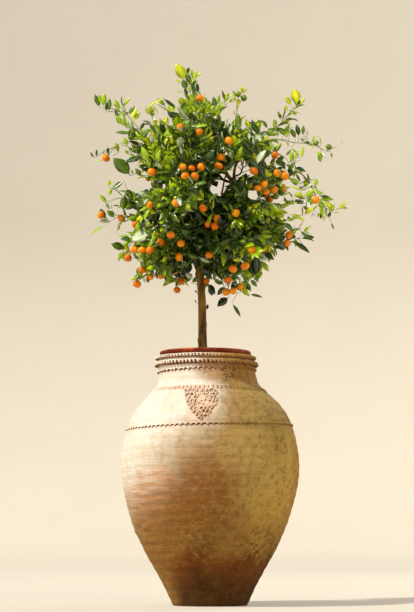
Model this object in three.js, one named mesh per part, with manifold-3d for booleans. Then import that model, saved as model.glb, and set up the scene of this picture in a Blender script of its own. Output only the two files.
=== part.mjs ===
// A calamondin orange tree, grown as a loose ball of boughs on one stem, planted in a rust-red pot that
// hangs in the mouth of a tall terracotta oil jar. Millimetres, +Z up. The origin is at the centre of
// the jar's flat underside, and the side with the grape relief faces -Y.
import * as THREE from 'three';
import { mergeVertices } from 'three/addons/utils/BufferGeometryUtils.js';
import { ImprovedNoise } from 'three/addons/math/ImprovedNoise.js';
import Module from 'manifold-3d';

const wasm = await Module();
wasm.setup();

// ---------------------------------------------------------------- driving dimensions

const SEAT_GAP = 0.3; // between pieces that touch

// The oil jar: [radius, height] of its outer wall, from the foot over the belly to the mouth.
const JAR_OUTLINE = [
  [146, 0], [174, 62], [262, 218], [325, 376], [355, 555], [333, 694], [303, 762],
  [262, 814], [219, 855], [204, 874], [198, 896], [194, 940], [188, 990],
];
const JAR_HEIGHT = 990;
const JAR_WALL = 24;
const JAR_FLOOR = 48;
const JAR_STEPS = 14; // rings of facets from foot to mouth
const JAR_SIDES = 30;
// The jar was thrown by hand: above the shoulder its axis wanders to the left.
const JAR_WANDER = { from: 800, to: 990, sideways: -19 };

// Raised ornament on the jar: [height, thickness] from each band's lower to its upper edge. The neck has
// a thin cord under two fat rolls.
const NECK_RINGS = [[922, 7], [934, 7], [940, 14], [989, 14]];
const ROSETTE_BAND = [[844, 6], [860, 6]];
const SHOULDER_CORD = [[696, 6], [708, 6]];
// The relief of a bunch of grapes hangs from the rosette band: a shield that runs down to a point.
const GRAPES = { x: -32, top: 842, bottom: 713, halfWidth: 66, thickness: 9 };

// The inner pot hangs by its rolled rim on the jar's mouth.
const POT = { rimRadius: 183, rimTop: 1010, wall: 11, bodyRadius: 158, depth: 285, footRadius: 118 };
const POT_X = JAR_WANDER.sideways;
const POT_SIDES = 20;
const SOIL_TOP = 976;

// The stem: its sideways place at four heights, from the soil to the fork.
const STEM = {
  foot: -29, waist: -33, bend: -39, fork: -34, waistHeight: 1217, bendHeight: 1310, forkHeight: 1440,
};
const STEM_RADIUS = { flare: 27, base: 17, fork: 14 };
const STEM_SIDES = 10;
const STEM_RINGS = 10;

// The crown is laid out round its heart, as it looks from the front along a line that climbs a little.
const HEART = new THREE.Vector3(-5, 0, 1620);
const SIGHT_CLIMB = 0.17; // millimetres up for each millimetre towards the back

// Rings of broad masses, the body of the crown. A ring has a turn about the upright axis (0 right, 90
// back), a lift above the horizontal, an inner and an outer reach from the heart, and a girth, which is
// the radius of a mass's thickest part.
const RINGS = [
  { name: 'skirt', count: 5, turn: 0, lift: -42, inner: 118, outer: 345, girth: 108 },
  { name: 'waist', count: 5, turn: 36, lift: 0, inner: 108, outer: 356, girth: 124 },
  { name: 'shoulder', count: 4, turn: 24, lift: 40, inner: 118, outer: 366, girth: 122 },
  { name: 'cap', count: 1, turn: 180, lift: 86, inner: 190, outer: 392, girth: 112 },
];

// Long shoots that stand out of the body and draw its outline, each grown on another mass. A tip has an
// angle (0 right, 90 up) and a reach from the heart as they look from the front, and a depth behind it.
const SHOOTS = [
  { name: 'top', on: 'cap_1', angle: 101, reach: 582, depth: -15, girth: 56 },
  { name: 'crest_left', on: 'cap_1', angle: 118, reach: 488, depth: 60, girth: 62 },
  { name: 'crest_middle', on: 'cap_1', angle: 87, reach: 454, depth: -60, girth: 48 },
  { name: 'crest_right', on: 'shoulder_1', angle: 68, reach: 408, depth: 50, girth: 76 },
  { name: 'left_shoulder', on: 'shoulder_3', angle: 145, reach: 486, depth: -110, girth: 58 },
  { name: 'left_horn', on: 'left_shoulder', angle: 136, reach: 643, depth: -150, girth: 46 },
  { name: 'left_horn_inner', on: 'crest_left', angle: 129, reach: 563, depth: 110, girth: 52 },
  { name: 'left_high', on: 'shoulder_3', angle: 160, reach: 530, depth: 20, girth: 54 },
  { name: 'left_middle', on: 'waist_3', angle: 176, reach: 444, depth: -120, girth: 48 },
  { name: 'left_low', on: 'waist_3', angle: 193, reach: 502, depth: 60, girth: 62 },
  { name: 'left_skirt', on: 'skirt_3', angle: 207, reach: 440, depth: 130, girth: 66 },
  { name: 'left_hem', on: 'skirt_4', angle: 228, reach: 455, depth: -100, girth: 84 },
  { name: 'hem_left', on: 'skirt_3', angle: 252, reach: 396, depth: 60, girth: 60 },
  { name: 'hem_right', on: 'skirt_5', angle: 282, reach: 413, depth: -60, girth: 80 },
  { name: 'right_hem', on: 'skirt_1', angle: 303, reach: 396, depth: 90, girth: 70 },
  { name: 'right_skirt', on: 'skirt_1', angle: 338, reach: 441, depth: -120, girth: 70 },
  { name: 'right_far', on: 'waist_1', angle: 0, reach: 569, depth: 70, girth: 62 },
  { name: 'right_middle', on: 'waist_5', angle: 0, reach: 434, depth: -150, girth: 50 },
  { name: 'right_high', on: 'shoulder_1', angle: 19, reach: 443, depth: 140, girth: 56 },
  { name: 'right_reach', on: 'shoulder_1', angle: 26, reach: 604, depth: -90, girth: 50 },
  { name: 'right_horn', on: 'crest_right', angle: 51, reach: 592, depth: 70, girth: 58 },
  { name: 'crest_sprig', on: 'crest_middle', angle: 73, reach: 489, depth: -10, girth: 30 },
  { name: 'hem_sprig', on: 'hem_right', angle: 285, reach: 487, depth: -30, girth: 32 },
  { name: 'front_1', on: 'shoulder_4', angle: 104, reach: 418, depth: -350, girth: 66 },
  { name: 'front_2', on: 'waist_4', angle: 166, reach: 126, depth: -490, girth: 66 },
  { name: 'front_3', on: 'skirt_5', angle: 308, reach: 309, depth: -330, girth: 62 },
  { name: 'back_1', on: 'shoulder_1', angle: 60, reach: 338, depth: 320, girth: 66 },
  { name: 'back_2', on: 'waist_2', angle: 263, reach: 141, depth: 510, girth: 66 },
  { name: 'back_3', on: 'skirt_3', angle: 243, reach: 399, depth: 340, girth: 62 },
];
const ROOTING = 70; // how far a shoot's inner end is sunk into the egg of the mass that it grows on

// Open windows through the crown, seen along the same line: the place of each window's centre, sideways
// and up, in the upright plane through the heart, and its half sizes.
const WINDOWS = [
  { x: 28, z: 1683, halfWidth: 35, halfHeight: 29 },
  { x: 95, z: 1743, halfWidth: 34, halfHeight: 27 },
  { x: 162, z: 1644, halfWidth: 32, halfHeight: 19 },
  { x: 300, z: 1619, halfWidth: 66, halfHeight: 17 },
  { x: -290, z: 1680, halfWidth: 86, halfHeight: 24 },
];
const WINDOW_SIDES = 7;

// Main boughs: the mass each one carries, the height where it leaves the stem, and its base radius.
const BOUGHS = [
  { name: 'bough_1', carries: 'skirt_3', height: 1322, radius: 9 },
  { name: 'bough_2', carries: 'skirt_1', height: 1334, radius: 9 },
  { name: 'bough_3', carries: 'skirt_4', height: 1346, radius: 9 },
  { name: 'bough_4', carries: 'skirt_2', height: 1360, radius: 8.5 },
  { name: 'bough_5', carries: 'waist_5', height: 1373, radius: 8.5 },
  { name: 'bough_6', carries: 'waist_1', height: 1394, radius: 8.5 },
  { name: 'bough_7', carries: 'waist_3', height: 1404, radius: 9 },
  { name: 'bough_8', carries: 'shoulder_1', height: 1426, radius: 11 },
];
const BOUGH_OFFSET = 5; // from the stem's axis to the middle of a bough's hidden inner end
const LIMB_ROOM = 1.2 * SEAT_GAP; // cut round a limb, so that its flat facets clear by a full gap
const BOUGH_TIP = 5; // radius at a bough's outer end
const BOUGH_SIDES = 7;
const BOUGH_POCKET = 34; // how far a bough runs into the mass it carries

const UNEVENNESS = { share: 0.5, span: 85 }; // how much, and over what length, a mass swells and dips

// ---------------------------------------------------------------- materials

const finish = (color, roughness) => new THREE.MeshStandardMaterial({ color, roughness, metalness: 0 });
const terracotta = () => finish(0xc9ab7c, 0.85);
const rustPot = () => finish(0x8c3f2a, 0.6);
const earth = () => finish(0x3a2a1e, 1);
const bark = () => finish(0x5d4a2c, 0.9);
const leaf = () => finish(0x3f7a1c, 0.5);

// ---------------------------------------------------------------- small tools

const radians = THREE.MathUtils.degToRad;

// A closed mesh with its shared corners merged, as a solid that can be cut and joined.
function solidOf(geometry) {
  const plain = new THREE.BufferGeometry().setAttribute('position', geometry.getAttribute('position'));
  plain.setIndex(geometry.getIndex());
  const merged = mergeVertices(plain, 1e-3);
  return new wasm.Manifold(new wasm.Mesh({
    numProp: 3,
    vertProperties: new Float32Array(merged.getAttribute('position').array),
    triVerts: new Uint32Array(merged.getIndex().array),
  }));
}

// The vertices and triangles of a solid as a geometry again.
function geometryOf(solid) {
  const mesh = solid.getMesh();
  const geometry = new THREE.BufferGeometry();
  geometry.setAttribute('position', new THREE.BufferAttribute(mesh.vertProperties, 3));
  geometry.setIndex(new THREE.BufferAttribute(mesh.triVerts, 1));
  geometry.computeVertexNormals();
  return geometry;
}

// One step of cutting a solid by a list of others.
function cutBy(solid, cutter) {
  return solid.subtract(cutter);
}

function named(name, geometry, material) {
  const mesh = new THREE.Mesh(geometry, material);
  mesh.name = name;
  return mesh;
}

// A turned shape: the closed profile of [radius, height] points is spun round the upright axis.
function turned(profile, sides) {
  const points = profile.map(([radius, height]) => new THREE.Vector2(radius, height));
  return new THREE.LatheGeometry(points, sides).rotateX(Math.PI / 2);
}

// Moves a jar piece's points sideways by the wander of the jar's axis at their height.
function wander(geometry) {
  const position = geometry.getAttribute('position');
  for (let i = 0; i < position.count; i += 1) {
    const climb = (position.getZ(i) - JAR_WANDER.from) / (JAR_WANDER.to - JAR_WANDER.from);
    position.setX(i, position.getX(i) + JAR_WANDER.sideways * Math.max(0, climb));
  }
  return geometry;
}

// A tapering limb: rings of corners along a curve, closed by a fan at each end.
function limb(curve, radiusAt, sides, rings) {
  const frames = curve.computeFrenetFrames(rings, false);
  const corners = [];
  const faces = [];
  for (let ring = 0; ring <= rings; ring += 1) {
    const centre = curve.getPointAt(ring / rings);
    const radius = radiusAt(ring / rings);
    for (let side = 0; side < sides; side += 1) {
      const angle = (2 * Math.PI * side) / sides;
      const corner = centre.clone()
        .addScaledVector(frames.normals[ring], radius * Math.cos(angle))
        .addScaledVector(frames.binormals[ring], radius * Math.sin(angle));
      corners.push(...corner);
    }
  }
  for (let ring = 0; ring < rings; ring += 1) {
    for (let side = 0; side < sides; side += 1) {
      const here = ring * sides + side;
      const next = ring * sides + ((side + 1) % sides);
      faces.push(here, next, here + sides, next, next + sides, here + sides);
    }
  }
  const last = rings * sides;
  for (let side = 1; side < sides - 1; side += 1) {
    faces.push(0, side + 1, side);
    faces.push(last, last + side, last + side + 1);
  }
  const geometry = new THREE.BufferGeometry();
  geometry.setAttribute('position', new THREE.Float32BufferAttribute(corners, 3));
  geometry.setIndex(faces);
  return geometry;
}

// ---------------------------------------------------------------- the jar and its ornament

// The jar's outer wall as even steps along a smooth curve through its outline, moved outwards.
function jarWall(outwards) {
  const outline = new THREE.SplineCurve(JAR_OUTLINE.map(([r, z]) => new THREE.Vector2(r, z)));
  return outline.getPoints(JAR_STEPS).map((point) => [point.x + outwards, point.y]);
}

function jar() {
  const outside = jarWall(0);
  const inside = jarWall(-JAR_WALL).filter(([, z]) => z > JAR_FLOOR).reverse();
  const floorRadius = inside[inside.length - 1][0] - 30;
  const profile = [[0, 0], ...outside, ...inside, [floorRadius, JAR_FLOOR], [0, JAR_FLOOR]];
  return named('jar', wander(turned(profile, JAR_SIDES)), terracotta());
}

// The jar's form, swollen outwards, as one full solid.
function jarForm(outwards) {
  return solidOf(wander(turned([[0, 0], ...jarWall(outwards), [0, JAR_HEIGHT]], JAR_SIDES)));
}

// Raised ornament lies on the wall with a little room, measured sideways: less across a slope.
const ORNAMENT_CLEAR = 1.6 * SEAT_GAP;

// A raised band: a closed ring whose inner side follows the wall from its lowest to its highest step.
function band(name, steps) {
  const wall = jarWall(0);
  const inner = steps.map(([height]) => [radiusAt(wall, height) + ORNAMENT_CLEAR, height]);
  const outer = steps.map(([height, thickness], i) => [inner[i][0] + thickness, height]);
  return named(name, wander(turned([...outer, ...inner.reverse(), outer[0]], JAR_SIDES)), terracotta());
}

// The radius of a stepped wall at a height, between its two nearest points.
function radiusAt(wall, height) {
  const above = wall.findIndex(([, z]) => z >= height);
  const [[r0, z0], [r1, z1]] = [wall[above - 1], wall[above]];
  return THREE.MathUtils.lerp(r0, r1, (height - z0) / (z1 - z0));
}

// A shield with a straight top and two bowed sides that meet in a point.
function grapeRelief() {
  const { x, top, bottom, halfWidth, thickness } = GRAPES;
  const shield = new THREE.Shape();
  shield.moveTo(x + halfWidth, top);
  shield.quadraticCurveTo(x + halfWidth * 0.95, (top + 2 * bottom) / 3, x, bottom);
  shield.quadraticCurveTo(x - halfWidth * 0.95, (top + 2 * bottom) / 3, x - halfWidth, top);
  const prism = new THREE.ExtrudeGeometry(shield, { depth: 450, bevelEnabled: false, curveSegments: 6 });
  const skin = jarForm(ORNAMENT_CLEAR + thickness).subtract(jarForm(ORNAMENT_CLEAR));
  const relief = skin.intersect(solidOf(prism.rotateX(Math.PI / 2)));
  return named('grape_relief', geometryOf(relief), terracotta());
}

// ---------------------------------------------------------------- the pot and its soil

function innerPot() {
  const { rimRadius, rimTop, wall, bodyRadius, depth, footRadius } = POT;
  const seat = JAR_HEIGHT + SEAT_GAP;
  const bottom = seat - depth;
  const roll = (rimTop - seat) / 2;
  const profile = [
    [0, bottom], [footRadius, bottom], [bodyRadius, seat], [rimRadius - roll, seat],
    [rimRadius, seat + roll], [rimRadius - roll, rimTop], [bodyRadius - wall + 8, rimTop],
    [bodyRadius - wall, rimTop - 10], [footRadius - wall, bottom + wall], [0, bottom + wall],
  ];
  return named('inner_pot', turned(profile, POT_SIDES).translate(POT_X, 0, 0), rustPot());
}

function soil() {
  const { wall, bodyRadius, depth, footRadius, rimTop } = POT;
  const bottom = JAR_HEIGHT + SEAT_GAP - depth + wall;
  const share = (SOIL_TOP - bottom) / (rimTop - 10 - bottom);
  const low = footRadius - wall - 2 * SEAT_GAP;
  const high = low + (bodyRadius - footRadius) * share;
  const profile = [[0, bottom + SEAT_GAP], [low, bottom + SEAT_GAP], [high, SOIL_TOP], [0, SOIL_TOP]];
  return named('soil', turned(profile, POT_SIDES).translate(POT_X, 0, 0), earth());
}

// ---------------------------------------------------------------- stem and boughs

const stemFoot = SOIL_TOP + SEAT_GAP;

function stemCurve(longer) {
  return new THREE.CatmullRomCurve3([
    new THREE.Vector3(STEM.foot, 0, stemFoot),
    new THREE.Vector3(STEM.waist, 0, STEM.waistHeight),
    new THREE.Vector3(STEM.bend, 0, STEM.bendHeight),
    new THREE.Vector3(STEM.fork, 0, STEM.forkHeight + longer),
  ]);
}

// The stem's flare fades within its lowest tenth; above that it tapers evenly.
function stemRadius(share) {
  const flare = (STEM_RADIUS.flare - STEM_RADIUS.base) * Math.exp(-share * 14);
  return THREE.MathUtils.lerp(STEM_RADIUS.base, STEM_RADIUS.fork, share) + flare;
}

// The stem's outline, swollen outwards, cut off level at its foot.
function stemSolid(outwards) {
  const stem = limb(stemCurve(outwards), (share) => stemRadius(share) + outwards, STEM_SIDES, STEM_RINGS);
  const position = stem.getAttribute('position');
  for (let i = 0; i < STEM_SIDES; i += 1) {
    position.setZ(i, stemFoot);
  }
  return solidOf(stem);
}

// A bough starts inside the stem at its height, climbs, and ends inside the mass that it carries.
function boughCurve({ height }, mass, longer) {
  const outwards = new THREE.Vector3(mass.from.x - STEM.fork, mass.from.y, 0).setLength(BOUGH_OFFSET);
  const start = new THREE.Vector3(STEM.fork, 0, height).add(outwards);
  const end = mass.from.clone().lerp(mass.to, BOUGH_POCKET / mass.from.distanceTo(mass.to));
  const knee = start.clone().lerp(end, 0.5);
  knee.z += 0.12 * start.distanceTo(end);
  start.addScaledVector(start.clone().sub(knee).normalize(), longer);
  end.addScaledVector(end.clone().sub(knee).normalize(), longer);
  return new THREE.QuadraticBezierCurve3(start, knee, end);
}

function boughSolid(bough, mass, outwards) {
  const taper = (share) => THREE.MathUtils.lerp(bough.radius, BOUGH_TIP, share) + outwards;
  return solidOf(limb(boughCurve(bough, mass, outwards), taper, BOUGH_SIDES, 7));
}

// ---------------------------------------------------------------- masses of foliage

function fromHeart(turn, lift, reach) {
  const flat = reach * Math.cos(radians(lift));
  return new THREE.Vector3(
    HEART.x + flat * Math.cos(radians(turn)),
    HEART.y + flat * Math.sin(radians(turn)),
    HEART.z + reach * Math.sin(radians(lift)),
  );
}

const middleOf = (mass) => mass.from.clone().add(mass.to).multiplyScalar(0.5);

const noise = new ImprovedNoise();

// How far a mass reaches from its middle in a direction: an egg about the line between its ends, which
// swells and dips from place to place.
function reachOf(mass, direction) {
  const half = mass.from.distanceTo(mass.to) / 2;
  const along = direction.dot(mass.to.clone().sub(mass.from).normalize());
  const across = Math.sqrt(Math.max(0, 1 - along * along));
  const place = middleOf(mass).addScaledVector(direction, half).divideScalar(UNEVENNESS.span);
  const girth = mass.girth * (1 + UNEVENNESS.share * noise.noise(place.x, place.y, place.z));
  return 1 / Math.hypot(along / half, across / girth);
}

function ringMasses({ name, count, turn, lift, inner, outer, girth }) {
  return Array.from({ length: count }, (_, i) => {
    const around = turn + (360 * i) / count;
    const tilt = lift + 5 * Math.sin(2.4 * i + lift);
    const from = fromHeart(around, tilt, inner);
    return { name: `${name}_${i + 1}`, from, to: fromHeart(around, tilt, outer), girth, sides: 9, rings: 7 };
  });
}

// A shoot runs from just inside the mass that it grows on, in line with that mass's middle, to its tip.
function shootOn(masses, { name, on, angle, reach, depth, girth }) {
  const carrier = masses.find((mass) => mass.name === on);
  const across = reach * Math.cos(radians(angle));
  const up = reach * Math.sin(radians(angle)) + SIGHT_CLIMB * depth;
  const to = new THREE.Vector3(across, depth, up).add(HEART);
  const way = to.clone().sub(middleOf(carrier)).normalize();
  const from = middleOf(carrier).addScaledVector(way, reachOf(carrier, way) - ROOTING);
  return { name, from, to, girth, sides: 8, rings: 6 };
}

const crownMasses = () => SHOOTS.reduce(
  (masses, shoot) => [...masses, shootOn(masses, shoot)],
  RINGS.flatMap(ringMasses),
);

// Flat walls between a mass and each neighbour. A wall stands across the line between the two middles
// and shares that line by their reaches, so both masses stop half a gap short of it.
function wallsOf(mass, all) {
  const middle = middleOf(mass);
  return all.filter((other) => other !== mass).map((other) => {
    const normal = middleOf(other).sub(middle);
    const apart = normal.length();
    normal.normalize();
    const own = reachOf(mass, normal);
    const theirs = reachOf(other, normal.clone().negate());
    return { normal, distance: (apart * own) / (own + theirs) - SEAT_GAP / 2 };
  });
}

// A mass's skin: rings of corners round its axis, each at the mass's reach or at its nearest wall.
function massSolid(mass, all) {
  const middle = middleOf(mass);
  const axis = mass.to.clone().sub(mass.from);
  const half = axis.length() / 2;
  const turn = new THREE.Quaternion().setFromUnitVectors(new THREE.Vector3(0, 1, 0), axis.normalize());
  const walls = wallsOf(mass, all);
  const skin = new THREE.SphereGeometry(1, mass.sides, mass.rings).scale(mass.girth, half, mass.girth);
  const position = skin.getAttribute('position');
  for (let i = 0; i < position.count; i += 1) {
    const way = new THREE.Vector3().fromBufferAttribute(position, i).applyQuaternion(turn).normalize();
    const facing = walls.filter(({ normal }) => way.dot(normal) > 0);
    const stops = facing.map(({ normal, distance }) => distance / way.dot(normal));
    const corner = way.multiplyScalar(Math.min(reachOf(mass, way), ...stops)).add(middle);
    position.setXYZ(i, corner.x, corner.y, corner.z);
  }
  return solidOf(skin);
}

// A window through the whole crown: an oval tunnel along the climbing line of sight.
function windowSolid({ x, z, halfWidth, halfHeight }) {
  const length = 1300;
  const tunnel = new THREE.CylinderGeometry(1, 1, length, WINDOW_SIDES);
  tunnel.scale(halfWidth, 1, halfHeight);
  tunnel.rotateX(Math.atan(SIGHT_CLIMB));
  return solidOf(tunnel.translate(x, 0, z));
}

// ---------------------------------------------------------------- the whole

function crown() {
  const masses = crownMasses();
  const stem = stemSolid(0);
  const carried = BOUGHS.map((bough) => masses.find(({ name }) => name === bough.carries));
  const stemRoom = stemSolid(LIMB_ROOM);
  const sockets = BOUGHS.map((bough, i) => boughSolid(bough, carried[i], LIMB_ROOM));
  const limbs = BOUGHS.map((bough, i) => (
    [stemRoom, ...sockets.slice(0, i)].reduce(cutBy, boughSolid(bough, carried[i], 0))
  ));
  const cutters = [stemRoom, ...sockets, ...WINDOWS.map(windowSolid)];
  const group = new THREE.Group();
  group.add(named('stem', geometryOf(stem), bark()));
  BOUGHS.forEach(({ name }, i) => group.add(named(name, geometryOf(limbs[i]), bark())));
  masses.forEach((mass) => {
    const solid = cutters.reduce(cutBy, massSolid(mass, masses));
    group.add(named(`leaves_${mass.name}`, geometryOf(solid), leaf()));
  });
  return group;
}

function vessel() {
  const group = new THREE.Group();
  group.add(jar());
  group.add(band('neck_rings', NECK_RINGS));
  group.add(band('rosette_band', ROSETTE_BAND));
  group.add(band('shoulder_cord', SHOULDER_CORD));
  group.add(grapeRelief());
  group.add(innerPot());
  group.add(soil());
  return group;
}

const tree = new THREE.Group();
tree.add(vessel(), crown());

export default tree;
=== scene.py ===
# %% [markdown]
# # A calamondin orange tree in its oil jar
# The real thing is a small citrus tree, grown as a loose ball on one stem, potted in a rust-red pot that
# hangs in the mouth of a tall terracotta oil jar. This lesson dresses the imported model: it loads the plain
# solids as a fixed frame and stands a fine mesh in the place of each. All sizes are metres, +Z is up, and
# the origin is at the centre of the jar's flat underside.

# %% Load the frame
import math
from functools import cached_property

import bpy
import numpy as np
from mathutils.bvhtree import BVHTree
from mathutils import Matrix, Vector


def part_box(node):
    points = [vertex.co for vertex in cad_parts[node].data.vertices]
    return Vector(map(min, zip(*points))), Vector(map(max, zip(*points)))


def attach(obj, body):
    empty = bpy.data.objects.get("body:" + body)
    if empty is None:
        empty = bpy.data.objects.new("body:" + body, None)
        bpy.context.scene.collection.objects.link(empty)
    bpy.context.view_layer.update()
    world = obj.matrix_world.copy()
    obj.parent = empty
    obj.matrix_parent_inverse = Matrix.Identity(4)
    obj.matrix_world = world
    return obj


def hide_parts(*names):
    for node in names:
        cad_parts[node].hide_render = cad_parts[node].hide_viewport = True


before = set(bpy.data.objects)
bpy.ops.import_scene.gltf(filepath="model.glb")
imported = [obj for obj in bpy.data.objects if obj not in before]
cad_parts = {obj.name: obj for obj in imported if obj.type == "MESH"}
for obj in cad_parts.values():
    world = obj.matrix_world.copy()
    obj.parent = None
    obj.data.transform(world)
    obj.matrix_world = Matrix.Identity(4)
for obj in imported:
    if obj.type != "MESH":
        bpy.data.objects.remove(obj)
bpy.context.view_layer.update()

# %% [markdown]
# ## The camera
# The tree is seen from low down, 8 m away, with a long lens that looks up a little. The bands on the jar then
# bow upwards as they do on the real one, and the mouth of the jar hides its own soil. Placing the camera
# first means that every later choice can be judged in its picture.

# %% Place the camera
EYE = (-0.0124, -8.0, 0.2705)     # where the camera stands
CAMERA_TILT = math.radians(6.58)
CAMERA_LENS = 117.6   # millimetres
CAMERA_SENSOR = 36.0  # millimetres, along the picture's long side

camera = bpy.data.objects.new("camera", bpy.data.cameras.new("camera"))
camera.location = EYE
camera.rotation_euler = (math.pi / 2 + CAMERA_TILT, 0, 0)
camera.data.lens = CAMERA_LENS
bpy.context.scene.collection.objects.link(camera)
bpy.context.scene.camera = camera
print("the camera stands", -EYE[1], "m in front of the jar and", EYE[2], "m up")

# %% [markdown]
# ## Building meshes from arrays
# Turned pots, limbs and leaves are all grids of points. A grid needs only its rows of points, and the faces
# between them follow from counting. One function lists a grid's faces. Another makes the Blender object,
# rides it on the body and hides the solids it stands in for, so each piece below is only its shape.

# %% Make meshes
PIECES = {}


def grid_faces(rows, columns, closed=True, first=0):
    """The four-sided faces of a grid of points, row by row; a closed grid wraps round each row."""
    row = np.arange(rows - 1)[:, None] * columns
    column = np.arange(columns if closed else columns - 1)[None, :]
    following = (column + 1) % columns
    corners = [row + column, row + following, row + columns + following, row + columns + column]
    return np.stack(corners, -1).reshape(-1, 4) + first


def make_piece(name, points, faces, materials, slot, replaces=(), face_material=None):
    """A smooth mesh object from an array of points and a list of arrays of faces."""
    mesh = bpy.data.meshes.new(name)
    points = np.asarray(points, np.float32).reshape(-1, 3)
    faces = [np.asarray(part, np.int32) for part in faces]
    sizes = np.concatenate([np.full(len(part), part.shape[1]) for part in faces])
    corners = np.concatenate([part.ravel() for part in faces])
    mesh.vertices.add(len(points))
    mesh.vertices.foreach_set("co", points.ravel())
    mesh.loops.add(len(corners))
    mesh.loops.foreach_set("vertex_index", corners)
    mesh.polygons.add(len(sizes))
    mesh.polygons.foreach_set("loop_start", np.cumsum(sizes) - sizes)
    mesh.update(calc_edges=True)
    mesh.polygons.foreach_set("use_smooth", np.ones(len(sizes), bool))
    for material in materials:
        mesh.materials.append(material)
    if face_material is not None:
        mesh.polygons.foreach_set("material_index", np.asarray(face_material, np.int32))
    mesh.validate()
    piece = bpy.data.objects.new(name, mesh)
    bpy.context.scene.collection.objects.link(piece)
    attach(piece, "root")
    if replaces:
        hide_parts(*replaces)
    triangles = int((sizes - 2).sum())
    PIECES[name] = triangles
    print(f"{name}: {len(points)} points, {triangles} triangles")


# %% [markdown]
# ## Unevenness
# Nothing here is machine-made, so nearly every surface needs soft lumps. A block of random numbers, read with
# smooth steps between its cells, gives that for a whole array of points at once, and its seed makes it the
# same on every run. Flat, wide cells turn lumps into thrown lines.

# %% Lumps
def lumps(points, size, seed):
    """Smooth random heights from -1 to 1 at the points; size is a cell's length, or one for each axis."""
    cells = 32
    table = np.random.default_rng(seed).uniform(-1, 1, (cells, cells, cells))
    place = np.asarray(points) / size
    cell = np.floor(place).astype(int)
    share = place - cell
    share = share * share * (3 - 2 * share)
    total = 0
    for corner in np.ndindex(2, 2, 2):
        near = np.where(corner, share, 1 - share).prod(-1)
        total = total + near * table[tuple(np.moveaxis((cell + corner) % cells, -1, 0))]
    return total


def step(value, low, high):
    """0 below low, 1 above high, and a smooth rise between them."""
    share = np.clip((value - low) / (high - low), 0, 1)
    return share * share * (3 - 2 * share)


print("some lumps:", lumps(np.eye(3), 0.4, 1).round(2))

# %% [markdown]
# ## Writing materials as sums
# A finish is a recipe: so much cream slip, less of it where the clay is rubbed bare. Drawn as nodes, such a
# recipe is hard to read, so a small class wraps a node's output and lets it be added and multiplied like a
# number. A second class holds the material, makes any other node, and lays one coat of colour over another.

# %% Shader values
class Value:
    """The output of a shader node. Sums with it add Math nodes."""

    def __init__(self, finish, socket):
        self.finish = finish
        self.socket = socket

    def math(self, operation, first, second):
        return self.finish.node("Math", {"operation": operation}, {0: first, 1: second})

    def __add__(self, other):
        return self.math("ADD", self, other)

    def __sub__(self, other):
        return self.math("SUBTRACT", self, other)

    def __rsub__(self, other):
        return self.math("SUBTRACT", other, self)

    def __mul__(self, other):
        return self.math("MULTIPLY", self, other)

    __radd__ = __add__
    __rmul__ = __mul__


# %% Tints
TINTS = {}      # the finishes' colours by name, as they look on a screen, 0 to 255


def shade(red, green, blue):
    """A colour as it looks on a screen, as the light values that shaders want."""
    return tuple(((c / 255 + 0.055) / 1.055) ** 2.4 if c > 10 else c / 255 / 12.92
                 for c in (red, green, blue)) + (1.0,)


def tint(colour):
    """A named tint as light values. Any other colour stays as it is."""
    return shade(*TINTS[colour]) if isinstance(colour, str) else colour


print("a middle grey is", round(shade(128, 128, 128)[0], 3), "as light")

# %% Finishes
class Finish:
    """A material with one Principled shader, and the nodes that feed it."""

    def __init__(self, name, roughness, **constants):
        self.material = bpy.data.materials.new(name)
        self.material.use_nodes = True
        self.tree = self.material.node_tree
        self.shader = self.tree.nodes["Principled BSDF"]
        self.feed(Roughness=roughness, **constants)

    def feed(self, **inputs):
        for name, value in inputs.items():
            self.set(self.shader.inputs[name.replace("_", " ")], value)

    def set(self, socket, value):
        if isinstance(value, Value):
            self.tree.links.new(value.socket, socket)
        else:
            socket.default_value = value

    def node(self, kind, settings=None, sockets=None, output=0):
        """Any node: its type, its settings, which are set first, and its sockets' values or links."""
        node = self.tree.nodes.new("ShaderNode" + kind)
        for name, value in (settings or {}).items():
            setattr(node, name, value)
        for name, value in (sockets or {}).items():
            self.set(node.inputs[name], value)
        return Value(self, node.outputs[output])

    @cached_property
    def place(self):
        """Where the surface point is on the object."""
        return self.node("TexCoord", output="Object")

    @cached_property
    def axes(self):
        return [self.node("SeparateXYZ", sockets={0: self.place}, output=axis) for axis in range(3)]

    def noise(self, scale, detail=3.0, roughness=0.5, stretch=(1, 1, 1)):
        vector = self.node("Mapping", sockets={"Vector": self.place, "Scale": stretch})
        sockets = {"Vector": vector, "Scale": scale, "Detail": detail, "Roughness": roughness}
        return self.node("TexNoise", sockets=sockets)

    def swing(self, *noise, **stretch):
        """A noise that swings about 0, not about a half."""
        return self.noise(*noise, **stretch) - 0.5

    def rise(self, value, low, high):
        """0 below low, 1 above high, and a smooth rise between them."""
        sockets = {"Value": value, "From Min": low, "From Max": high}
        return self.node("MapRange", {"interpolation_type": "SMOOTHSTEP"}, sockets)

    def patch(self, x, z, half_width, half_height, fray=0.0, core=0.25):
        """1 in an oval patch on the side that faces -Y, fading to 0 round it, from core outwards."""
        across = (self.axes[0] - x) * (1 / half_width)
        up = (self.axes[2] - z) * (1 / half_height)
        away = across * across + up * up + fray
        return (1 - self.rise(away, core, 1.85 - core)) * (1 - self.rise(self.axes[1], -0.06, 0.06))

    def mix(self, mask, first, second):
        return self.node("Mix", {"data_type": "RGBA"}, {0: mask, 6: tint(first), 7: tint(second)}, output=2)

    def ground(self, mask, first, second):
        """The colour under all coats, from the first tint to the second."""
        self.colour = self.mix(mask, first, second)
        self.feed(Base_Color=self.colour)

    def coat(self, mask, colour):
        """Lays a colour over those before it, as thick as the mask says."""
        self.ground(mask, self.colour, colour)

    def bump(self, height, distance, strength=1.0):
        sockets = {"Height": height, "Distance": distance, "Strength": strength}
        self.feed(Normal=self.node("Bump", sockets=sockets))
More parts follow.
